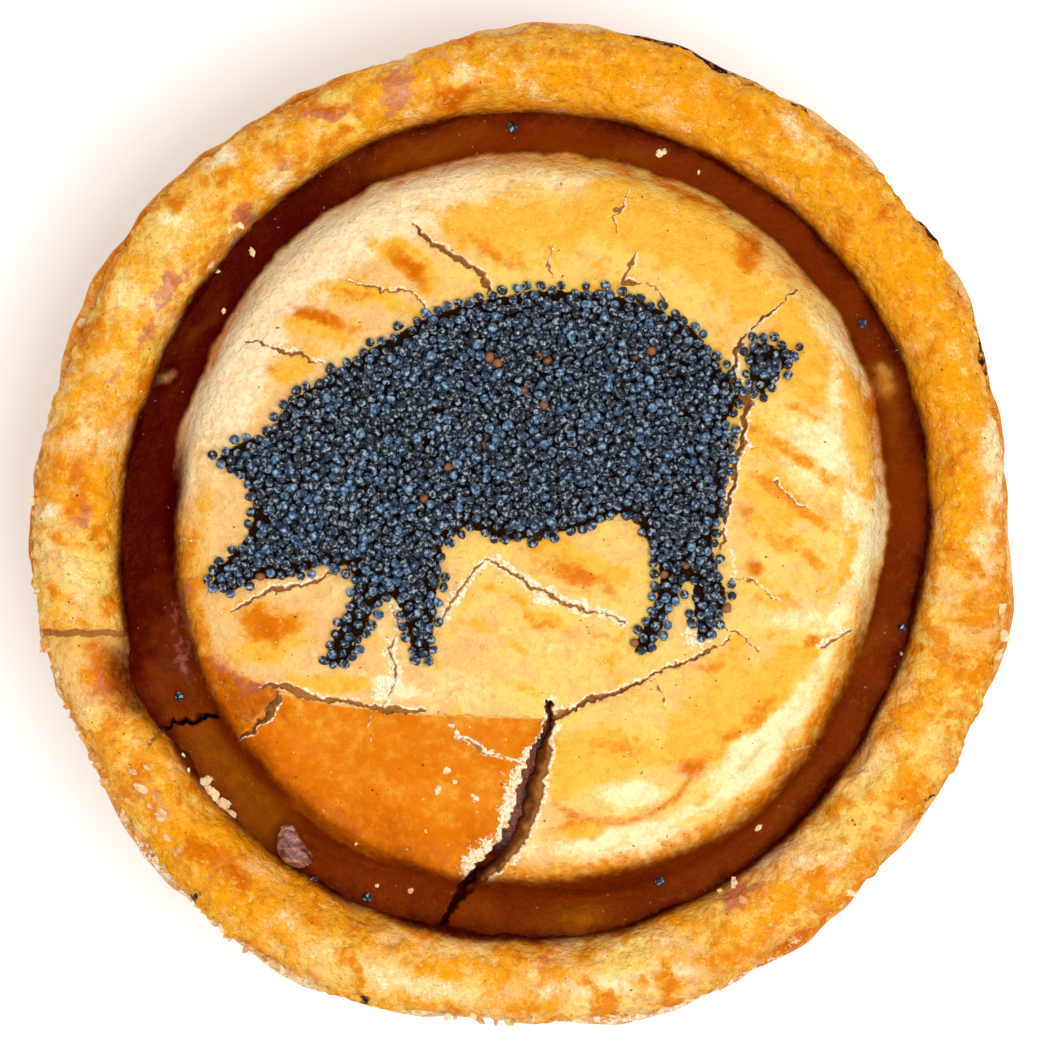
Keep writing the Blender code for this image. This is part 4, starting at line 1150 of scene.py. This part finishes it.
def makeBaconFinish():
    finish, bench, shader = newFinish("cookedBacon")
    place = bench.add("ShaderNodeTexCoord", output="Object")
    stretched = bench.add("ShaderNodeMapping", {}, {
        "Vector": place, "Rotation": (0, 0, math.radians(57)), "Scale": (0.35, 1.6, 1.0)})
    streak = bench.noise(stretched, 1.1, 3.0, 0.5, 0.4)
    grain = bench.noise(place, 0.35, 3.0)
    colour = bench.mix(streak.between(0.38, 0.62), seen(96, 44, 44), seen(168, 108, 92))
    colour = bench.mix((streak * 0.5 + grain * 0.5).between(0.58, 0.68) * 0.8, colour, seen(214, 170, 140))
    plug(bench, shader, "Base Color", colour)
    plug(bench, shader, "Roughness", 0.2 + grain * 0.3)
    plugBump(bench, shader, 0.7, 0.3, streak + grain * 0.4)
    return finish


def makeBacon(finish):
    body = bmesh.new()
    bmesh.ops.create_icosphere(body, subdivisions=5, radius=1.0)
    mesh = meshFrom(body, "baconChunk")
    points = coordinates(mesh)
    x, y, z = points.T
    size = 1 + 0.16 * lumps(x + z, y - z, 0.9, 131, 3) - 0.2 * np.exp(-((y - 0.25 * x) / 0.16) ** 2) * (z > 0)
    points *= size[:, None] * np.array(baconSettings["half"])
    points[:, 1] += 0.12 * points[:, 0] ** 2 - 0.3
    tilt, turn = math.radians(baconSettings["tilt"]), math.radians(baconSettings["turn"])
    x, y, z = points.T
    x, z = x * math.cos(tilt) + z * math.sin(tilt), -x * math.sin(tilt) + z * math.cos(tilt)
    x, y = x * math.cos(turn) - y * math.sin(turn), x * math.sin(turn) + y * math.cos(turn)
    points = np.stack([x, y, z], axis=1) + np.array(baconSettings["middle"])
    setCoordinates(mesh, points * mm)
    mesh.shade_smooth()
    mesh.materials.append(finish)
    return newPiece("baconChunk", mesh)


seedSettings = {
    "radius": 0.53, "tries": 9000, "layers": 1.35, "start": 17, "from": -36.0, "to": 30.0, "grid": 0.25,
    "rest": 0.75, "firstStep": 0.3, "lastStep": 0.03,
    "nest": 0.97,   # how far apart seeds lie on each other
    "strays": ((865, 322), (660, 883), (367, 900), (178, 697), (512, 125), (312, 884), (905, 628)),
}


def settleSeeds():
    # drops seeds one by one onto the lid; each rolls downhill over the others until it rests
    draw = random.Random(seedSettings["start"])
    radius, low, grid = seedSettings["radius"], seedSettings["from"], seedSettings["grid"]
    cell = 2 * radius
    axis = np.arange(low, seedSettings["to"], grid)
    gridX, gridY = np.meshgrid(axis, axis, indexing="ij")
    flatX, flatY = gridX.ravel(), gridY.ravel()
    lid = plainTop(flatX, flatY).reshape(gridX.shape)
    inside = np.maximum(insideBy(flatX, flatY, pigOutline), insideBy(flatX, flatY, tailOutline))
    inside = inside.reshape(gridX.shape)
    boxes = {}

    def lookUp(table, x, y):
        i, j = int((x - low) / grid), int((y - low) / grid)
        return table[min(max(i, 0), len(axis) - 1), min(max(j, 0), len(axis) - 1)]

    def restHeight(x, y):
        # height above the pastry, so that seeds roll over each other but not down the lid
        height = radius * seedSettings["rest"]
        column, row = int(x // cell), int(y // cell)
        for i in (column - 1, column, column + 1):
            for j in (row - 1, row, row + 1):
                for sx, sy, sz in boxes.get((i, j), ()):
                    gap = 4 * radius * radius - (sx - x) ** 2 - (sy - y) ** 2
                    if gap > 0:
                        height = max(height, sz + math.sqrt(gap) * seedSettings["nest"])
        return height

    directions = [(math.cos(k * math.pi / 4), math.sin(k * math.pi / 4)) for k in range(8)]
    outlinePoints = fromPhoto(pigOutline)
    lowX, lowY = outlinePoints.min(axis=0)
    highX, highY = outlinePoints.max(axis=0)
    highX += 8   # the tail's tip lies apart
    seeds = []
    for _ in range(seedSettings["tries"]):
        x, y = draw.uniform(lowX, highX), draw.uniform(lowY, highY)
        if lookUp(inside, x, y) < 0.0:
            continue
        z = restHeight(x, y)
        reach = seedSettings["firstStep"]
        while reach > seedSettings["lastStep"]:
            ahead = [(x + a * reach, y + b * reach) for a, b in directions]
            best = min((restHeight(*spot), *spot) for spot in ahead)
            if best[0] < z - 0.002:
                z, x, y = best
            else:
                reach *= 0.5
        margin = lookUp(inside, x, y)
        pile = z - radius * seedSettings["rest"]
        if margin < -0.02 or pile > min(max((margin - 0.5) * 0.7, 0.05), seedSettings["layers"]):
            continue
        boxes.setdefault((int(x // cell), int(y // cell)), []).append((x, y, z))
        seeds.append((x, y, z + lookUp(lid, x, y)))
    strays = fromPhoto(seedSettings["strays"])
    heights = plainTop(strays[:, 0], strays[:, 1]) + radius * 0.6
    seeds += [(x, y, z) for (x, y), z in zip(strays, heights)]
    return np.array(seeds)


def newNodeModifier(piece, name, inputs):
    # a Geometry Nodes modifier with an empty tree; returns the bench, the input wires and the modifier
    tree = bpy.data.node_groups.new(name, "GeometryNodeTree")
    tree.interface.new_socket("Geometry", in_out="INPUT", socket_type="NodeSocketGeometry")
    tree.interface.new_socket("Geometry", in_out="OUTPUT", socket_type="NodeSocketGeometry")
    sockets = {}
    for key, (kind, value) in inputs.items():
        sockets[key] = tree.interface.new_socket(key, in_out="INPUT", socket_type=kind)
    modifier = piece.modifiers.new(name, "NODES")
    modifier.node_group = tree
    for key, (kind, value) in inputs.items():
        modifier[sockets[key].identifier] = value
    bench = Bench(tree)
    group = tree.nodes.new("NodeGroupInput")
    wires = {socket.name: Wire(bench, socket) for socket in group.outputs if socket.name}
    return bench, wires, modifier


def finishNodes(bench, geometry, piece, modifier):
    # ends the tree, and turns the piece into the plain mesh that it gives
    output = bench.tree.nodes.new("NodeGroupOutput")
    bench.tree.links.new(geometry.socket, output.inputs[0])
    bpy.context.view_layer.update()
    evaluated = piece.evaluated_get(bpy.context.evaluated_depsgraph_get())
    mesh = bpy.data.meshes.new_from_object(evaluated)
    piece.modifiers.remove(modifier)
    piece.data = mesh
    return piece


def makeSeedFinish():
    finish, bench, shader = newFinish("poppySeeds")
    place = bench.add("ShaderNodeTexCoord", output="Object")
    tone = bench.attribute("tone")
    ramp = bench.add("ShaderNodeValToRGB", {}, {"Fac": tone}, "Color")
    stops = ramp.socket.node.color_ramp.elements
    stops[0].position, stops[0].color = 0.0, (*seen(10, 11, 20), 1)
    stops[1].position, stops[1].color = 1.0, (*seen(180, 194, 206), 1)
    blues = {0.3: (18, 26, 46), 0.55: (34, 56, 88), 0.75: (62, 98, 136), 0.9: (104, 138, 166)}
    for position, colour in blues.items():
        stops.new(position).color = (*seen(*colour), 1)
    cells = bench.add("ShaderNodeTexVoronoi", {"feature": "DISTANCE_TO_EDGE"},
                      {"Vector": place, "Scale": 1 / (0.19 * mm)}, "Distance")
    pits = cells.between(0.03, 0.28)
    patch = bench.noise(place, 0.4, 2.0)
    # painted highlights: pale blue-white patches on the seeds, away from the pits
    colour = bench.mix((1 - pits * 0.6) * patch.between(0.5, 0.64) * 0.85, ramp, seen(184, 206, 226))
    colour = bench.mix(patch.between(0.5, 0.36) * 0.8, colour, seen(6, 7, 16))
    colour = bench.mix(bench.attribute("husk"), colour, seen(150, 92, 50))
    plug(bench, shader, "Base Color", colour)
    plug(bench, shader, "Roughness", 0.28 + pits * 0.25)
    plugBump(bench, shader, 0.7, 0.07, 1 - pits)
    return finish


def makeSeeds(finish):
    places = settleSeeds()
    mesh = bpy.data.meshes.new("poppySeedPlaces")
    mesh.from_pydata([tuple(point * mm) for point in places], [], [])
    piece = newPiece("poppySeeds", mesh)
    bench, wires, modifier = newNodeModifier(piece, "seedHeap", {
        "Seed Radius": ("NodeSocketFloat", seedSettings["radius"] * mm * 1.04),
        "Bend": ("NodeSocketFloat", 0.32),
        "Size Spread": ("NodeSocketFloat", 0.1),
        "Order": ("NodeSocketInt", 5),
    })
    ball = bench.add("GeometryNodeMeshIcoSphere", {}, {"Radius": 1.0, "Subdivisions": 2})
    position = bench.add("GeometryNodeInputPosition")
    parts = bench.add("ShaderNodeSeparateXYZ", {}, {0: position}).socket.node
    x, y, z = (Wire(bench, socket) for socket in parts.outputs)
    bent = y * 0.9 + x * x * wires["Bend"] - wires["Bend"] * 0.35
    shaped = bench.add("ShaderNodeCombineXYZ", {}, {0: x * 1.1, 1: bent, 2: z * 0.88})
    kidney = bench.add("GeometryNodeSetPosition", {}, {
        "Geometry": ball, "Position": bench.scale(shaped, wires["Seed Radius"])})
    kidney = bench.add("GeometryNodeSetShadeSmooth", {}, {"Geometry": kidney})
    order = wires["Order"]
    turn = bench.random((0, 0, 0), (6.28, 6.28, 6.28), order)
    size = bench.random(1 - wires["Size Spread"], 1 + wires["Size Spread"], order + 1)
    heap = bench.add("GeometryNodeInstanceOnPoints", {}, {
        "Points": wires["Geometry"], "Instance": kidney, "Rotation": turn, "Scale": size})
    tone = bench.random(0.0, 1.0, order + 2) ** 1.5 * 0.85
    brown = bench.random(0.0, 1.0, order + 3)
    for name, value in (("tone", tone), ("husk", brown.math("GREATER_THAN", brown, 0.992))):
        heap = bench.add("GeometryNodeStoreNamedAttribute", {"data_type": "FLOAT", "domain": "INSTANCE"},
                         {"Geometry": heap, "Name": name, "Value": value})
    heap = bench.add("GeometryNodeRealizeInstances", {}, {"Geometry": heap})
    heap = bench.add("GeometryNodeSetMaterial", {}, {"Geometry": heap, "Material": finish})
    return finishNodes(bench, heap, piece, modifier)


crumbSettings = {
    "rimCount": 110, "start": 23, "side": (235, 32), "from": 0.3, "to": 0.7,
    # given one by one: pixels, size in mm, tone from cream to brown
    "placed": (
        (238, 223, 0.8, 0.0), (228, 229, 0.5, 0.1), (203, 783, 1.2, 0.2), (209, 796, 1.4, 0.15),
        (220, 808, 1.2, 0.3), (229, 816, 0.7, 0.4), (132, 772, 0.7, 0.6), (141, 789, 0.9, 0.4),
        (150, 806, 0.6, 0.7), (160, 815, 1.0, 0.5), (155, 830, 0.6, 0.8), (168, 838, 0.8, 0.6),
        # the small cream crumbs at (182, 757), (187, 772), (660, 151), (665, 149) and (700, 170) are painted
        # glints
        (147, 768, 0.5, 0.5), (128, 800, 0.6, 0.8), (176, 852, 0.5, 0.8), (182, 757, 0.3, 0.0),
        (187, 772, 0.35, 0.0), (660, 151, 0.5, 0.0), (665, 149, 0.35, 0.0), (700, 170, 0.3, 0.0),
        (215, 270, 0.4, 0.3), (250, 250, 0.5, 0.2), (222, 310, 0.4, 0.3), (209, 263, 0.5, 0.5),
        (735, 886, 0.9, 0.1), (745, 902, 0.7, 0.8), (722, 893, 0.6, 0.6), (438, 790, 0.6, 0.1),
        (447, 771, 0.5, 0.0), (455, 782, 0.3, 0.1), (376, 888, 0.3, 0.0), (410, 893, 0.45, 0.7),
        (356, 845, 0.3, 0.1), (283, 832, 0.6, 0.9), (292, 846, 0.5, 0.7), (1001, 610, 0.9, 0.3),
        (1003, 635, 1.1, 0.2), (1000, 655, 0.8, 0.4), (850, 893, 0.8, 0.1), (855, 900, 0.7, 0.5),
        (760, 830, 0.6, 0.1), (905, 655, 0.4, 0.6), (180, 850, 0.5, 0.9), (208, 877, 0.5, 0.9),
    ),
}


def makeCrumbFinish():
    finish, bench, shader = newFinish("pastryCrumbs")
    place = bench.add("ShaderNodeTexCoord", output="Object")
    grain = bench.noise(place, 0.5, 3.0)
    colour = bench.mix(bench.attribute("tone"), seen(250, 226, 176), seen(214, 140, 60))
    colour = bench.mix(grain.between(0.45, 0.7) * 0.6, colour, seen(190, 112, 44))
    plug(bench, shader, "Base Color", colour)
    plug(bench, shader, "Roughness", 0.6 + grain * 0.2)
    plugBump(bench, shader, 0.6, 0.2, grain)
    return finish


def makeCrumbs(finish, ground):
    draw = random.Random(crumbSettings["start"])
    surfaces = []
    for piece in ground:
        body = bmesh.new()
        body.from_mesh(piece.data)
        surfaces.append(BVHTree.FromBMesh(body))
        body.free()

    def heightAt(x, y):
        hits = [surface.ray_cast(Vector((x, y, 80)) * mm, Vector((0, 0, -1)))[0] for surface in surfaces]
        return max((hit.z / mm for hit in hits if hit), default=None)

    places = []
    for _ in range(crumbSettings["rimCount"]):   # along the flaky edge
        angle = math.radians(draw.gauss(*crumbSettings["side"]))
        plain = pie["rim"] - 0.6 + draw.uniform(-0.5, 0.2)
        radius = float(between(np.array([plain]), plainRadii, ringRadii(np.array([angle])))[0])
        height = pie["seam"] + draw.uniform(-0.6, 2.2)
        size = draw.uniform(crumbSettings["from"], crumbSettings["to"])
        places.append((radius * math.cos(angle), radius * math.sin(angle), height, size, draw.random()))
    for px, py, size, tone in crumbSettings["placed"]:
        (x, y), = fromPhoto([(px, py)])
        height = heightAt(x, y)
        if height:
            places.append((x, y, height + size * 0.08, size, tone))
    mesh = bpy.data.meshes.new("crumbPlaces")
    mesh.from_pydata([tuple(Vector(place[:3]) * mm) for place in places], [], [])
    for name, column in (("size", 3), ("tone", 4)):
        attribute = mesh.attributes.new(name, "FLOAT", "POINT")
        attribute.data.foreach_set("value", [place[column] for place in places])
    piece = newPiece("pastryCrumbs", mesh)
    bench, wires, modifier = newNodeModifier(piece, "crumbScatter", {
        "Crumb Size": ("NodeSocketFloat", 1.0 * mm),
        "Roughness": ("NodeSocketFloat", 1.25),
        "Order": ("NodeSocketInt", 9),
    })
    ball = bench.add("GeometryNodeMeshIcoSphere", {}, {"Radius": 1.0, "Subdivisions": 3})
    noise = bench.add("ShaderNodeTexNoise", {}, {"Scale": 1.4, "Detail": 2.0}, "Color")
    push = bench.add("ShaderNodeVectorMath", {"operation": "SUBTRACT"}, {0: noise, 1: (0.5, 0.5, 0.5)})
    lump = bench.add("GeometryNodeSetPosition", {}, {
        "Geometry": ball, "Offset": bench.scale(push, wires["Roughness"] * 2)})
    order = wires["Order"]
    turn = bench.random((-0.3, -0.3, 0), (0.3, 0.3, 6.28), order)
    size = bench.random((0.6, 0.4, 0.16), (0.9, 0.7, 0.28), order + 1)
    given = bench.add("GeometryNodeInputNamedAttribute", {"data_type": "FLOAT"}, {"Name": "size"})
    size = bench.scale(size, wires["Crumb Size"] * given)
    heap = bench.add("GeometryNodeInstanceOnPoints", {}, {
        "Points": wires["Geometry"], "Instance": lump, "Rotation": turn, "Scale": size})
    heap = bench.add("GeometryNodeRealizeInstances", {}, {"Geometry": heap})
    heap = bench.add("GeometryNodeSetMaterial", {}, {"Geometry": heap, "Material": finish})
    return finishNodes(bench, heap, piece, modifier)


studio = {
    "cameraHeight": 0.9, "sensor": 36.0, "keyPower": 4.25, "keySize": 0.42, "keyDistance": 0.8,
    "keyAzimuth": -38.0, "keyElevation": 73.0, "worldStrength": 0.95,
}


def makeStudio():
    body = bmesh.new()
    bmesh.ops.create_grid(body, x_segments=1, y_segments=1, size=1.5)
    floorMesh = meshFrom(body, "floor")
    floor = newPiece("floor", floorMesh)
    finish, _, shader = newFinish("paleFloor")
    shader.inputs["Base Color"].default_value = (0.96, 0.96, 0.96, 1)
    shader.inputs["Roughness"].default_value = 0.9
    floorMesh.materials.append(finish)

    aim = Vector((0, 0, pie["rimHeight"] * mm))
    azimuth, elevation = math.radians(studio["keyAzimuth"]), math.radians(studio["keyElevation"])
    level = math.cos(elevation)
    away = Vector((math.cos(azimuth) * level, math.sin(azimuth) * level, math.sin(elevation)))
    lamp = bpy.data.lights.new("key", "AREA")
    lamp.energy, lamp.size = studio["keyPower"], studio["keySize"]
    key = bpy.data.objects.new("key", lamp)
    key.location = aim + away * studio["keyDistance"]
    key.rotation_euler = away.to_track_quat("Z", "Y").to_euler()
    bpy.context.scene.collection.objects.link(key)

    world = bpy.data.worlds.new("studio")
    world.use_nodes = True
    world.node_tree.nodes["Background"].inputs["Color"].default_value = (1.0, 1.0, 0.99, 1)
    world.node_tree.nodes["Background"].inputs["Strength"].default_value = studio["worldStrength"]
    bpy.context.scene.world = world

    lens = bpy.data.cameras.new("camera")
    lens.sensor_width = studio["sensor"]
    viewWidth = photo["width"] / photo["pixelsPerMm"] * mm
    lens.lens = studio["sensor"] * studio["cameraHeight"] / viewWidth
    lens.clip_start = 0.01
    camera = bpy.data.objects.new("camera", lens)
    offset = (photo["width"] / 2 - photo["middle"][0]) / photo["pixelsPerMm"] * mm
    camera.location = (offset, 0, pie["rimHeight"] * mm + studio["cameraHeight"])
    bpy.context.scene.collection.objects.link(camera)
    bpy.context.scene.camera = camera
    bpy.context.scene.view_settings.view_transform = "Standard"


makeStudio()
print("studio ready")
pastry = makePastryFinish()
top = makeTop(pastry)
print("top sheet", len(top.data.polygons))
rimRing = makeRim(pastry)
print("rim", len(rimRing.data.polygons))
wall = makeWall(pastry)
print("wall", len(wall.data.polygons))
filling = makeFilling(makeFillingFinish())
bacon = makeBacon(makeBaconFinish())
seeds = makeSeeds(makeSeedFinish())
print("seeds", len(seeds.data.polygons))
crumbs = makeCrumbs(makeCrumbFinish(), (top, rimRing))
print("crumbs", len(crumbs.data.polygons))

for piece, slot in ((top, "lid"), (rimRing, "lid"), (wall, "crust"), (filling, "filling"),
                    (bacon, "bacon"), (seeds, "lid"), (crumbs, "crust")):
    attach(piece, "root")
for piece in (top, rimRing, seeds):
    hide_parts("pastry_lid")
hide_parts("pastry_case")
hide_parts("filling")
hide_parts("bacon_piece")
print("pieces ride on the pie")
